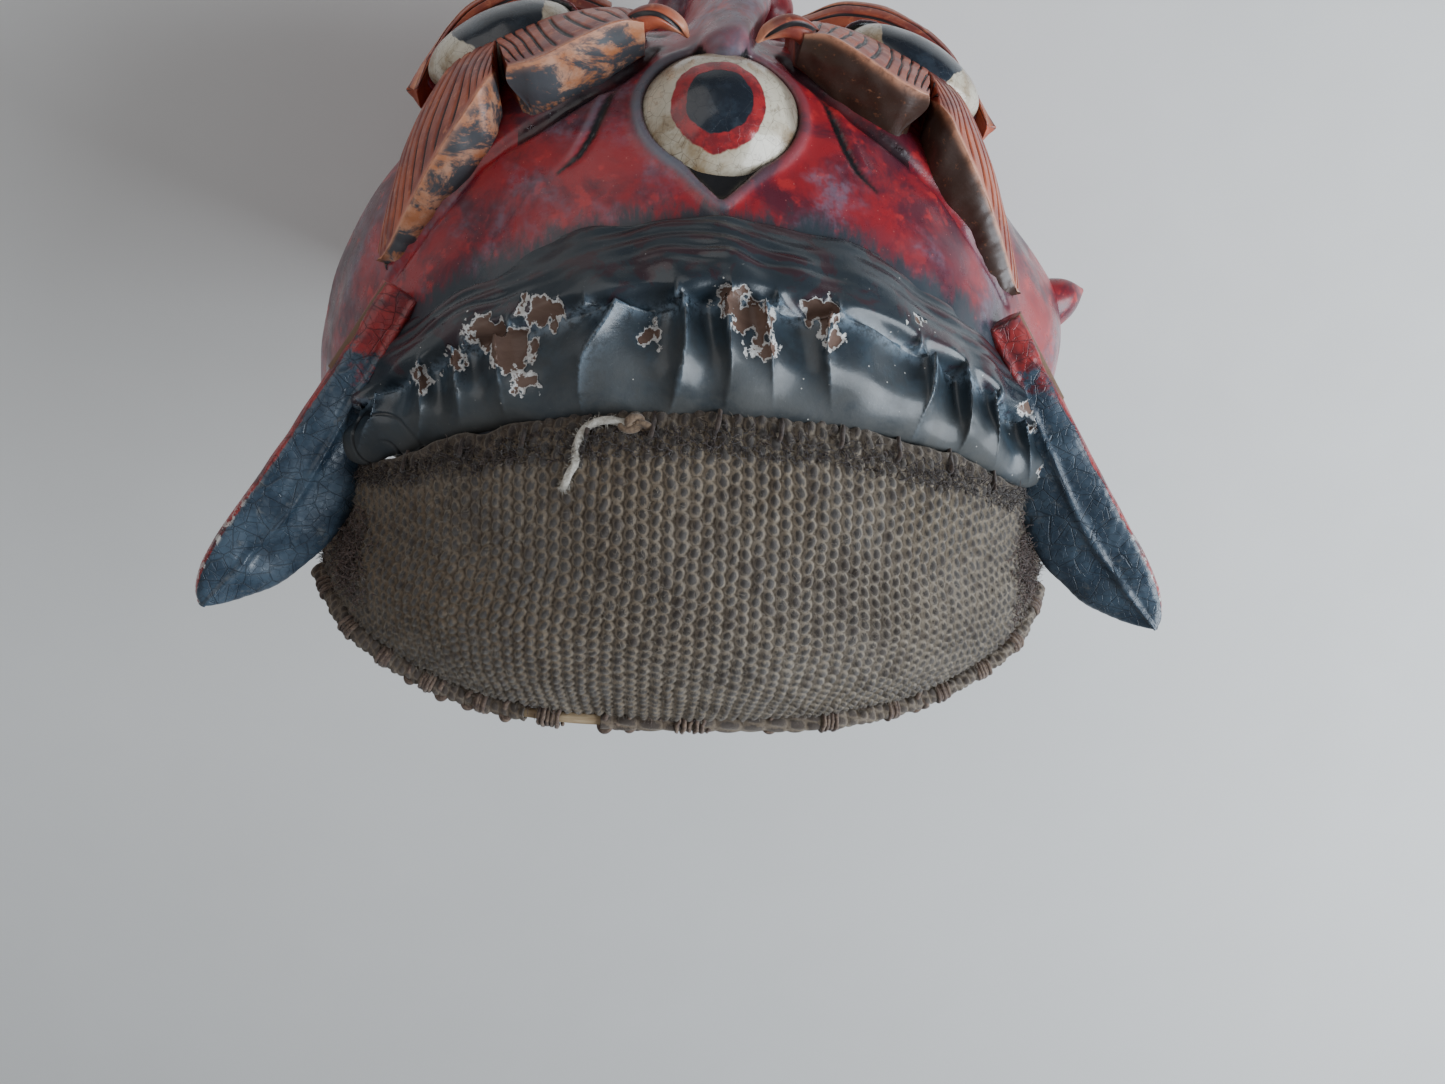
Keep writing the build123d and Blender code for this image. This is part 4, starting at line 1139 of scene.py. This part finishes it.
def cane_paint():
    """Split cane: pale straw with long fibres and darker joints."""
    paint = Paint("cane", Specular_IOR_Level=0.35)
    fibre = paint.noise(1.2, 4, 0.7, 0.2, paint.stretched(0.06, 0.6, 1.0))
    paint.colour = paint.mix(paint.level(fibre, 0.3, 0.7), (0.30, 0.20, 0.11), (0.56, 0.43, 0.27))
    paint.spots((16, 4, 0.6), 0.48, 0.66, (0.17, 0.10, 0.06), 0.8)
    paint.lay(paint.times(paint.trait("node"), 0.7), (0.13, 0.07, 0.04))
    return paint.finish(paint.level(fibre, 0.3, 0.7, 0.42, 0.65), paint.bump(fibre, 0.25, 0.8))


def felt_paint():
    """Pressed wool felt, grey-brown and pilled."""
    paint = Paint("felt", Sheen_Weight=0.4, Sheen_Roughness=0.6, Specular_IOR_Level=0.15)
    hairs = paint.noise(0.9, 5, 0.8, 1.5)
    paint.colour = paint.mix(paint.level(hairs, 0.3, 0.7), (0.11, 0.085, 0.065), (0.27, 0.22, 0.17))
    paint.spots((14, 4, 0.6), 0.45, 0.7, (0.09, 0.065, 0.05), 0.6)
    return paint.finish(paint.level(hairs, 0.3, 0.7, 0.85, 0.96), paint.bump(hairs, 0.4, 0.8))


def floor_paint():
    paint = Paint("pale_floor")
    paint.colour = paint.mix(paint.noise(60, 4, 0.6), (0.70, 0.69, 0.67), (0.76, 0.75, 0.73))
    return paint.finish(paint.between((20, 3, 0.5), 0.7, 0.85))


# ------------------------------------------------------------------ knitted hood
HOOD_COLUMNS, HOOD_ROW, HOOD_THICKNESS = 86, 5.0, 3.6
HOOD_SWEEP = math.radians(75.5)
HEM_LINE = ((0, 144.5), (45, 144.5), (88, 142), (112, 134.5), (134, 121.5), (152, 106))
PAD_LOW, PAD_HIGH, PAD_DEPTH, PAD_HALF_WIDTH = 196.0, 226.0, 13.0, 66.0
HOOD_ROWS = 27 * 7 + 1
SEED = 20
FUZZ_HAIRS, FRONT_ENDS, SIDE_ENDS, HEM_TUFTS, PATCH_HAIRS = 6000, 2200, 620, 34, 420
LASHINGS = 13
HEM_KNOTS = (                    # X and size
    (112, 1.5), (99, 1.7), (88, 1.4), (73, 1.5), (33, 1.6), (24, 1.3), (-33, 1.3), (-96, 1.4),
)
FRAYS, TIP_FRAYS = 330, 90
CLOTH_FRAMES = 20


def hood_height(x, y):
    half_width, rise = profile(HOOD_STATIONS, 1, y), profile(HOOD_STATIONS, 2, y)
    return HOOD_AXIS_Z + rise * np.sqrt(np.clip(1 - (x / half_width) ** 2, 0, 1))


def crest_rear(x):
    """Y and Z of the crest's rear edge at a sideways place."""
    known = [station[0] for station in CREST_STATIONS]
    return [np.interp(np.abs(x), known, [station[4][n] for station in CREST_STATIONS]) for n in (0, 1)]


def fibres(roots, ways, lengths, radius, curl, seed, steps=6):
    """Loose threads: each starts at a root, sets off one way and wanders as it goes."""
    random = np.random.default_rng(seed)
    count = len(roots)
    at, way = np.array(roots, float), unit(np.array(ways, float))
    path = [at]
    for _ in range(steps - 1):
        way = unit(way + curl * random.normal(size=(count, 3)))
        at = at + way * (np.asarray(lengths)[:, None] / (steps - 1))
        path.append(at)
    path = np.stack(path, axis=1)
    along = unit(np.gradient(path, axis=1) + 1e-9)
    side = unit(np.cross(along, (0.31, 0.17, 0.93)))
    up = np.cross(side, along)
    taper = np.linspace(1, 0.35, steps)[None, :, None, None] * np.asarray(radius).reshape(-1, 1, 1, 1)
    angle = full_turn(3)[:, None]
    rings = path[:, :, None] + taper * (np.cos(angle) * side[:, :, None] + np.sin(angle) * up[:, :, None])
    faces = skin(rings[0])[1]
    return rings.reshape(-1, 3), (faces[None] + (np.arange(count) * steps * 3)[:, None, None]).reshape(-1, 4)


def hood_sheet(c):
    """The smooth sheet of the knitting, its normals, and how far it lies from its front edge and hem."""
    angle = c * HOOD_SWEEP
    x_mark = np.abs(152 * np.sin(angle))
    front = crest_rear(x_mark)[0] - 2.0 + 1.2 * wobble(150 * c, 0 * c, 0 * c, 7, SEED)
    hem = np.interp(x_mark, *zip(*HEM_LINE)) + 1.4 * wobble(150 * c, 0 * c, 0 * c, 10, SEED + 1)
    y = front + (hem - front) * np.linspace(0, 1, HOOD_ROWS)[None]
    x = profile(HOOD_STATIONS, 1, y) * np.sin(angle)
    z = HOOD_AXIS_Z + profile(HOOD_STATIONS, 2, y) * np.cos(angle)
    z = z - 2.5 * np.exp(-(y - front) / 4.0) - 2.2 * ease(6, 0, hem - y)
    z = z + 1.3 * wobble(x, y, z, 34, SEED + 2) * ease(0, 12, y - front)
    sheet = np.stack([x, y, z], axis=-1)
    normal = unit(np.cross(np.gradient(sheet, axis=0), np.gradient(sheet, axis=1)))
    normal *= np.sign(normal[..., 2:3].mean())
    return sheet, normal, y - front, hem - y


def knitted_loops(c, sheet, run):
    """Each point's share of a raised loop, the loop's own chance and the height over the sheet."""
    p = c * HOOD_COLUMNS / 2 + 0.10 * uneven(sheet, 9, SEED + 3)
    q = run / HOOD_ROW / (1.0 + 0.35 * np.exp(-run / 14.0)) + 0.16 * uneven(sheet, 7, SEED + 4)
    column = np.floor(p)
    q = q + 0.5 * (column % 2)
    row = np.floor(q)
    chance = lot(column * 12.9898 + row * 78.233)
    across, down = p - column - 0.5 + 0.10 * (chance - 0.5), q - row - 0.5 + 0.12 * (chance * 7 % 1 - 0.5)
    across = across + 0.14 * down * np.where(column % 2 > 0, 1, -1)
    bead = np.clip(1 - (across / 0.46) ** 2 - (down / 0.54) ** 2, 0, 1)
    furrow = 0.25 * np.abs(np.sin(14 * across + 9 * down + 20 * chance))
    matt = np.clip(0.5 + 0.5 * uneven(sheet, 13, SEED + 5), 0, 1)
    height = (2.2 * bead * (0.80 + 0.35 * chance) - 0.10 * furrow) * (0.62 + 0.38 * matt)
    return bead, chance, height + 0.12 * uneven(sheet, 2.2, SEED + 7)


def hood(paint):
    """The knitted wool panel: staggered raised loops on one curved sheet."""
    c = np.linspace(-1, 1, HOOD_COLUMNS * 7 + 1)[:, None]
    sheet, normal, from_front, to_hem = hood_sheet(c)
    steps = np.linalg.norm(np.diff(sheet, axis=1), axis=2)
    run = np.concatenate([np.zeros((len(c), 1)), np.cumsum(steps, axis=1)], axis=1)
    bead, chance, height = knitted_loops(c, sheet, run)
    fade = ease(0, 2, to_hem) * ease(0, 1.2, from_front)
    top = sheet + normal * (height * fade)[..., None]
    under = sheet - normal * (HOOD_THICKNESS - 1.6 * ease(3, 0, to_hem))[..., None]
    under = under - normal * (0.5 * bead * fade)[..., None]
    # crest_shadow: painted shadow along the front edge, where the crest overhangs.
    traits = {"bead": bead * fade, "crest_shadow": ease(9, 0, run), "hem": ease(5, 0, to_hem), "lot": chance}
    traits = {name: np.concatenate([value, value[:, ::-1]], axis=1) for name, value in traits.items()}
    rings = np.concatenate([top, under[:, ::-1]], axis=1)
    piece = closed_mesh("knitted_hood", rings, paint, "hood_wool", traits, ["hood"],
                        shrink=(0.995, 0.99, 0.985, 0.98))
    return piece, sheet, normal


def fuzz(sheet, normal, random):
    """Fine hairs that stand over the whole knitting."""
    columns, rows = sheet.shape[:2]
    i, j = random.integers(4, columns - 4, FUZZ_HAIRS), random.integers(3, rows - 3, FUZZ_HAIRS)
    ways = normal[i, j] * 0.5 + random.normal(size=(FUZZ_HAIRS, 3)) * 0.75
    points, faces = fibres(sheet[i, j] + normal[i, j] * 1.1, ways, random.uniform(1.8, 4.6, FUZZ_HAIRS),
                           random.uniform(0.07, 0.14, FUZZ_HAIRS), 0.55, SEED + 8)
    paint = yarn_paint("fuzz_yarn", (0.30, 0.25, 0.18), (0.17, 0.14, 0.11))
    return make_mesh("hood_fuzz", points, faces, paint, "hood_wool")


def ragged_edge(sheet, random):
    """Dark torn ends along the hood's front edge and its two sides."""
    columns, rows = sheet.shape[:2]
    i, j = random.integers(20, columns - 20, FRONT_ENDS), random.integers(6, 20, FRONT_ENDS)
    ways = np.stack([random.normal(size=FRONT_ENDS) * 0.6, random.normal(size=FRONT_ENDS) * 0.5, 0.5 + 0 * i],
                    axis=1)
    sets = [fibres(sheet[i, j] + (0, 0, 1.0), ways, random.uniform(2.5, 6.5, FRONT_ENDS),
                   random.uniform(0.14, 0.34, FRONT_ENDS), 0.5, SEED + 9)]
    for end, sign in ((0, -1), (columns - 1, 1)):
        j = random.integers(int(rows * 0.05), rows - 2, SIDE_ENDS)
        clump = np.exp(-((j / rows - 0.55) / 0.22) ** 2)
        ways = np.stack([sign * (0.6 + 0 * j), random.normal(size=SIDE_ENDS) * 0.5,
                         random.normal(size=SIDE_ENDS) * 0.6], axis=1)
        sets.append(fibres(sheet[end, j], ways, random.uniform(2.5, 5.0, SIDE_ENDS) * (1 + 0.9 * clump),
                           random.uniform(0.12, 0.32, SIDE_ENDS), 0.6, SEED + 10 + end % 7))
    paint = yarn_paint("dark_yarn", (0.085, 0.058, 0.046), (0.028, 0.020, 0.020))
    return make_mesh("ragged_edge", *merge(sets), paint, "hood_wool")


def hem_tufts(sheet, normal, random):
    """Tufts along the hem, and a matted patch near each of its ends."""
    columns, rows = sheet.shape[:2]
    sets = []
    for spot in random.uniform(0.06, 0.94, HEM_TUFTS):
        middle = int(spot * (columns - 1))
        count = int(random.integers(14, 46))
        i = np.clip(middle + random.normal(size=count) * 5, 0, columns - 1).astype(int)
        ways = np.stack([random.normal(size=count) * 0.8, 0.55 + 0 * i,
                         -0.2 + random.normal(size=count) * 0.5], axis=1)
        roots = sheet[i, -1] + random.normal(size=(count, 3)) * 0.7
        sets.append(fibres(roots, ways, random.uniform(2.5, 6.0, count),
                           random.uniform(0.14, 0.34, count), 0.7, int(SEED + 40 + spot * 100)))
    for sign in (-1, 1):
        i = ((0.5 + sign * (0.405 + 0.018 * random.normal(size=PATCH_HAIRS))) * (columns - 1)).astype(int)
        j = np.clip((rows * (0.52 + 0.13 * random.normal(size=PATCH_HAIRS))).astype(int), 0, rows - 1)
        ways = normal[i, j] + random.normal(size=(PATCH_HAIRS, 3)) * 0.8
        sets.append(fibres(sheet[i, j] + normal[i, j] * 1.5, ways, random.uniform(4, 8, PATCH_HAIRS),
                           random.uniform(0.22, 0.42, PATCH_HAIRS), 1.0, SEED + 30 + sign, steps=8))
    paint = yarn_paint("hem_yarn", (0.20, 0.135, 0.105), (0.065, 0.042, 0.040))
    return make_mesh("hem_tufts", *merge(sets), paint, "hood_wool")


def loose_wool(sheet, normal):
    """Fuzz over the knitting, and the ragged tufts at its edges, as real threads."""
    random = np.random.default_rng(SEED)
    return [fuzz(sheet, normal, random), ragged_edge(sheet, random), hem_tufts(sheet, normal, random)]


# ------------------------------------------------------------------ cane, lashings, stitches, tie
def cane_path(count=700):
    half = [(x, y, float(hood_height(x * 0.975, y - CANE_GAP)) - 2.5) for x, y in CANE_PLAN]
    return through(half + [(-x, y, z) for x, y, z in reversed(half)], count)


def path_frame(path):
    """The way along a path at each point, and two ways square to it."""
    along = unit(np.gradient(path, axis=0))
    side = unit(np.cross(along, (0.0, 0.0, 1.0)))
    return along, side, np.cross(side, along)


def rope(path, radius, plies=2, twist=3.0, around=18):
    """A twisted strand along a fine path: rings with a lobe for each ply."""
    run = np.concatenate([[0], np.cumsum(np.linalg.norm(np.diff(path, axis=0), axis=1))])[:, None]
    angle = full_turn(around)[None]
    lobe = 1 - 0.20 * (0.5 - 0.5 * np.cos(plies * (angle - run / (twist * radius))))
    rings = rings_about(path, np.asarray(radius) * lobe, angle, *path_frame(path)[1:])
    return skin(close_ends(rings, shrink=(0.85, 0.6, 0.3, 0.03), bulge=0.5 * float(np.mean(radius))))


def yarn_piece(name, ropes, paint, replaces):
    points, faces = merge(ropes)
    return make_mesh(name, points, turned(points, faces), paint, "yarn", (), [replaces])


def hem_cane():
    path = cane_path()
    run = np.linspace(0, 1, len(path))[:, None]
    angle = full_turn(40)[None]
    node = bell(run * 7.3 % 1 - 0.5, 0.012)
    facet = 1 - 0.07 * np.cos(2 * angle + 5 * run) - 0.05 * np.cos(5 * angle + 40 * run)
    size = CANE_RADIUS * facet * (1 + 0.16 * node) * (1 + 0.03 * np.sin(90 * run))
    closed_mesh("split_cane", rings_about(path, size, angle, *path_frame(path)[1:]), cane_paint(), "cane",
                {"node": node + 0 * angle}, ["hem_cane"], shrink=(0.97, 0.9, 0.5, 0.03))


def hem_roll(paint):
    """The knitting rolled round the cane, except along one bare stretch."""
    path = cane_path(1300)
    side, up = path_frame(path)[1:]
    angle = full_turn(60)[None]
    length = np.linspace(0, 362, len(path))[:, None]
    rolls, beads = [], []
    for low, high in ((66.0, 160.0), (-160.0, 37.0)):
        kept = (path[:, 0] > low) & (path[:, 0] < high)
        run = length[kept]
        stitch = np.abs(np.sin(math.pi * run / 4.2) * np.sin(2.5 * angle + run / 4.2)) ** 0.7
        lumpy = 0.9 * wobble(*np.broadcast_arrays(run, 9 * np.cos(angle), 9 * np.sin(angle)), 7.0, SEED + 62)
        size = CANE_RADIUS + 1.2 + 0.9 * stitch + 0.55 * lumpy
        rings = rings_about(path[kept], size, angle, side[kept], up[kept])
        rolls.append(skin(close_ends(rings, shrink=(0.95, 0.9, 0.8, 0.65))))
        beads.append(spread_ends(stitch).ravel())
    points, faces = merge(rolls)
    bead = np.concatenate(beads)
    return make_mesh("rolled_hem", points, turned(points, faces), paint, "hood_wool",
                     {"bead": bead, "crest_shadow": 0 * bead, "hem": 0 * bead + 0.7, "lot": 0 * bead})


def knot_line(centre, size):
    t = np.linspace(0, math.tau * 0.985, 200)
    knot = np.stack([np.sin(t) + 2 * np.sin(2 * t), np.cos(t) - 2 * np.cos(2 * t), -1.15 * np.sin(3 * t)],
                    axis=1)
    return np.array(centre) + knot * size


def lashings():
    """Turns of yarn round the cane at even spaces, and the knots between them."""
    path = cane_path(1300)
    along, side, up = path_frame(path)
    random = np.random.default_rng(SEED + 60)
    coils = []
    for number in range(LASHINGS):
        middle = int((number + 0.5) / LASHINGS * len(path))
        half = int(random.integers(9, 15))
        spots = np.linspace(max(middle - half, 2), min(middle + half, len(path) - 3), 110).astype(int)
        turns = np.linspace(0, math.tau * random.uniform(3.5, 5.5), 110)
        reach = CANE_RADIUS + 1.9 + 0.35 * np.sin(turns * 0.37 + number)
        out = np.cos(turns)[:, None] * side[spots] + np.sin(turns)[:, None] * up[spots]
        line = path[spots] + reach[:, None] * out
        coils.append(rope(line + along[spots] * np.linspace(-0.15, 0.15, 110)[:, None], 0.95, 2, 2.2, 12))
    for x, size in HEM_KNOTS:
        spot = path[np.argmin(np.abs(path[:, 0] - x))]
        line = knot_line(spot + (0, 0.6, 0.8), size * random.uniform(0.75, 1.1, 3))
        coils.append(rope(line, 1.25, 2, 2.3, 12))
    paint = yarn_paint("lashing_yarn", (0.25, 0.18, 0.13), (0.075, 0.050, 0.045))
    return yarn_piece("yarn_lashings", coils, paint, "hem_lashings")


def stitches():
    """Low stitches of dark wool that hold the hood to the crest."""
    sets = []
    for number in range(-5, 6):
        x = number * 22.0
        y, z = (float(value) for value in crest_rear(x))
        drop = float(hood_height(x, y + 6.0))
        line = ((x - 1, y - 3.5, z - 1.4), (x - 0.4, y - 0.5, z + 0.9), (x + 0.6, y + 3.0, drop + 2.0),
                (x + 1.2, y + 6.0, drop + 0.2))
        sets.append(rope(through(line, 40), 1.0, 2, 2.6, 12))
    paint = yarn_paint("stitch_yarn", (0.10, 0.07, 0.055), (0.03, 0.022, 0.02))
    return yarn_piece("crest_stitches", sets, paint, "rim_lacing")


def spline_points(route):
    """Points read from the NURBS spline that has the route's points as its control points."""
    curve = bpy.data.curves.new("route", "CURVE")
    curve.dimensions = "3D"
    spline = curve.splines.new("NURBS")
    spline.points.add(len(route) - 1)
    for point, place in zip(spline.points, route):
        point.co = (*place, 1.0)
    spline.order_u = 3
    spline.use_endpoint_u = True
    spline.resolution_u = 24
    holder = bpy.data.objects.new("route", curve)
    mesh = bpy.data.meshes.new_from_object(holder)
    points = np.array([vertex.co for vertex in mesh.vertices], float)
    bpy.data.objects.remove(holder)
    bpy.data.curves.remove(curve)
    bpy.data.meshes.remove(mesh)
    return points


def frays(path, paint):
    """Fine threads that stand off the loose end, most of them at its tip."""
    count, tip = len(path), len(path) - 14
    random = np.random.default_rng(SEED + 70)
    spots = np.concatenate([random.integers(0, count, FRAYS - TIP_FRAYS),
                            random.integers(tip, count, TIP_FRAYS)])
    at_tip = spots >= tip
    out = unit(random.normal(size=(FRAYS, 3)) + (0, 0, 0.4))
    ahead = unit(path[-1] - path[-8])
    ways = np.where(at_tip[:, None], ahead + 0.5 * out, out + 0.6 * np.gradient(path, axis=0)[spots])
    lengths = np.where(at_tip, random.uniform(2.0, 4.5, FRAYS), random.uniform(1.2, 3.2, FRAYS))
    points, faces = fibres(path[spots] + out * 0.9 * ~at_tip[:, None], ways, lengths,
                           random.uniform(0.07, 0.16, FRAYS), 0.35, SEED + 71)
    points[:, 2] = np.maximum(points[:, 2], hood_height(points[:, 0], points[:, 1]) + 0.6)
    return make_mesh("frayed_threads", points, faces, paint, "yarn")


def tie():
    """The brown knot and its loose, fraying end, which lies on the hood. Returns the knot."""
    route = [np.array((x, y, float(hood_height(x, y)) + CORD_LIFT)) for x, y in CORD_PLAN]
    path = spline_points(route)
    brown = yarn_paint("knot_yarn", (0.27, 0.19, 0.125), (0.11, 0.072, 0.048))
    line = knot_line(route[0] - (1.6, 0, -0.3), (1.75, 0.85, 1.0))
    knot = yarn_piece("brown_knot", [rope(line, 1.45, 2, 2.4, 16)], brown, "tie_knot")
    pale = yarn_paint("pale_yarn", (0.68, 0.65, 0.58), (0.40, 0.36, 0.30))
    run = np.linspace(0, 1, len(path))[:, None]
    plies = rope(path, CORD_RADIUS * (1.12 - 0.10 * run), 3, 2.8, 24)
    strand = yarn_piece("loose_end", [plies], pale, "tie_end")
    frays(path, pale)
    return knot


# ------------------------------------------------------------------ felt pad inside the forehead
def puff(piece, pressure, cap_mm):
    """Blows a pad up with a cloth simulation, applied, with no point moved further than the cap."""
    scene = bpy.context.scene
    before = np.array([vertex.co for vertex in piece.data.vertices])
    cloth = piece.modifiers.new("cloth", "CLOTH")
    cloth.settings.quality = 5
    cloth.settings.use_pressure = True
    cloth.settings.uniform_pressure_force = pressure
    cloth.settings.effector_weights.gravity = 0
    for number in range(1, CLOTH_FRAMES + 1):
        scene.frame_set(number)
    depsgraph = bpy.context.evaluated_depsgraph_get()
    after = np.array([vertex.co for vertex in piece.evaluated_get(depsgraph).data.vertices])
    piece.modifiers.remove(cloth)
    scene.frame_set(1)
    move = after - before
    far = np.linalg.norm(move, axis=1, keepdims=True)
    return before + move * np.minimum(1, cap_mm * MM / np.maximum(far, 1e-9))


def forehead_pad():
    """A sewn felt pad, puffed by simulation and quilted in upright channels."""
    x = np.linspace(-PAD_HALF_WIDTH + 3, PAD_HALF_WIDTH - 3, 60)
    half_width, front = profile(FACE_STATIONS, 1, PAD_HIGH), profile(FACE_STATIONS, 2, PAD_HIGH)

    def curve(inset):
        return BACK - (BACK - front - inset) * np.sqrt(1 - (x / (half_width - inset)) ** 2)

    outer, inner = curve(WALL + 3.0), curve(WALL + PAD_DEPTH - 2.5)
    corners = [(outer, PAD_LOW + 3), (outer, PAD_HIGH - 3), (inner, PAD_HIGH - 3), (inner, PAD_LOW + 3)]
    lines = [np.stack([x, y, 0 * x + z], axis=1) for y, z in corners]
    sides = zip(lines, lines[1:] + lines[:1])
    rings = np.stack([a + (b - a) * share / 6 for a, b in sides for share in range(6)], axis=1)
    piece = closed_mesh("felt_pad", rings, felt_paint(), "felt", (), ["forehead_pad"],
                        shrink=(0.8, 0.5, 0.25, 0.03))
    bpy.context.view_layer.objects.active = piece
    remesh = piece.modifiers.new("remesh", "REMESH")
    remesh.mode, remesh.voxel_size, remesh.use_smooth_shade = "VOXEL", 0.0034, True
    bpy.ops.object.select_all(action="DESELECT")
    piece.select_set(True)
    bpy.ops.object.modifier_apply(modifier="remesh")
    places = np.array([vertex.co for vertex in piece.data.vertices])
    places = puff(piece, 4.0, 2.6)
    across = places[:, 0]
    heart = np.stack([across, np.interp(across / MM, x, (outer + inner) / 2) * MM,
                      0 * across + (PAD_LOW + PAD_HIGH) / 2 * MM], axis=1)
    channel = sum(bell(across / MM - seam, 1.8) for seam in (-44, -22, 0, 22, 44))
    places = places + (heart - places) * (0.20 * np.clip(channel, 0, 1))[:, None]
    piece.data.vertices.foreach_set("co", places.astype(np.float32).ravel())
    piece.data.polygons.foreach_set("use_smooth", np.full(len(piece.data.polygons), True))
    piece.modifiers.new("smooth", "SUBSURF").render_levels = 1
    piece.data.update()


# ------------------------------------------------------------------ stage
def add_camera():
    """A camera almost overhead, a little in front of the face, with the nose at the picture's top."""
    place = Vector((0.040, -0.102, 0.730))
    back = Vector((0.10, -0.36, 0.93)).normalized()
    up = Vector((0.03, -0.93, -0.36))
    up = (up - back * up.dot(back)).normalized()
    right = up.cross(back)
    data = bpy.data.cameras.new("camera")
    data.sensor_width = 36.0
    data.lens = 31.14
    data.clip_start = 0.01
    camera = bpy.data.objects.new("camera", data)
    turn = Matrix((right, up, back)).transposed().to_4x4()
    camera.matrix_world = Matrix.Translation(place) @ turn
    bpy.context.scene.collection.objects.link(camera)
    bpy.context.scene.camera = camera


def add_area_light(name, place, target, size, power, colour):
    data = bpy.data.lights.new(name, "AREA")
    data.shape = "RECTANGLE"
    data.size, data.size_y = size
    data.energy = power
    data.color = colour
    light = bpy.data.objects.new(name, data)
    aim = Vector(target) - Vector(place)
    light.matrix_world = Matrix.Translation(place) @ aim.to_track_quat("-Z", "Y").to_matrix().to_4x4()
    bpy.context.scene.collection.objects.link(light)


def add_stage():
    add_area_light("window", (-1.1, 0.2, 0.9), (0, 0, 0.2), (1.0, 1.2), 32, (0.84, 0.92, 1.0))
    add_area_light("fill", (0.9, -0.9, 1.2), (0, 0, 0.2), (1.6, 1.6), 7, (1.0, 0.97, 0.94))
    world = bpy.data.worlds.new("studio")
    bpy.context.scene.world = world
    world.use_nodes = True
    world.node_tree.nodes["Background"].inputs[0].default_value = (0.80, 0.84, 0.90, 1)
    world.node_tree.nodes["Background"].inputs[1].default_value = 0.25
    data = bpy.data.meshes.new("floor")
    data.from_pydata([(-3, -3, 0), (3, -3, 0), (3, 3, 0), (-3, 3, 0)], [], [(0, 1, 2, 3)])
    data.materials.append(floor_paint())
    floor = bpy.data.objects.new("floor", data)
    bpy.context.scene.collection.objects.link(floor)


# ------------------------------------------------------------------ the whole mask
carve_head()
orange = orange_lacquer()
brows(orange)
cheek_flames(orange)
brow_curls(orange)
eyes()
teeth()
crest()
ears()
wool = wool_paint()
knitting, knit_sheet, knit_normal = hood(wool)
wool_pieces = loose_wool(knit_sheet, knit_normal)
hem_cane()
wool_pieces += [hem_roll(wool), lashings(), stitches(), tie()]
forehead_pad()
for peg in ("ear_pegs", "crest_pegs"):
    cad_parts[peg].data.materials.clear()
    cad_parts[peg].data.materials.append(bare_wood())
add_camera()
add_stage()
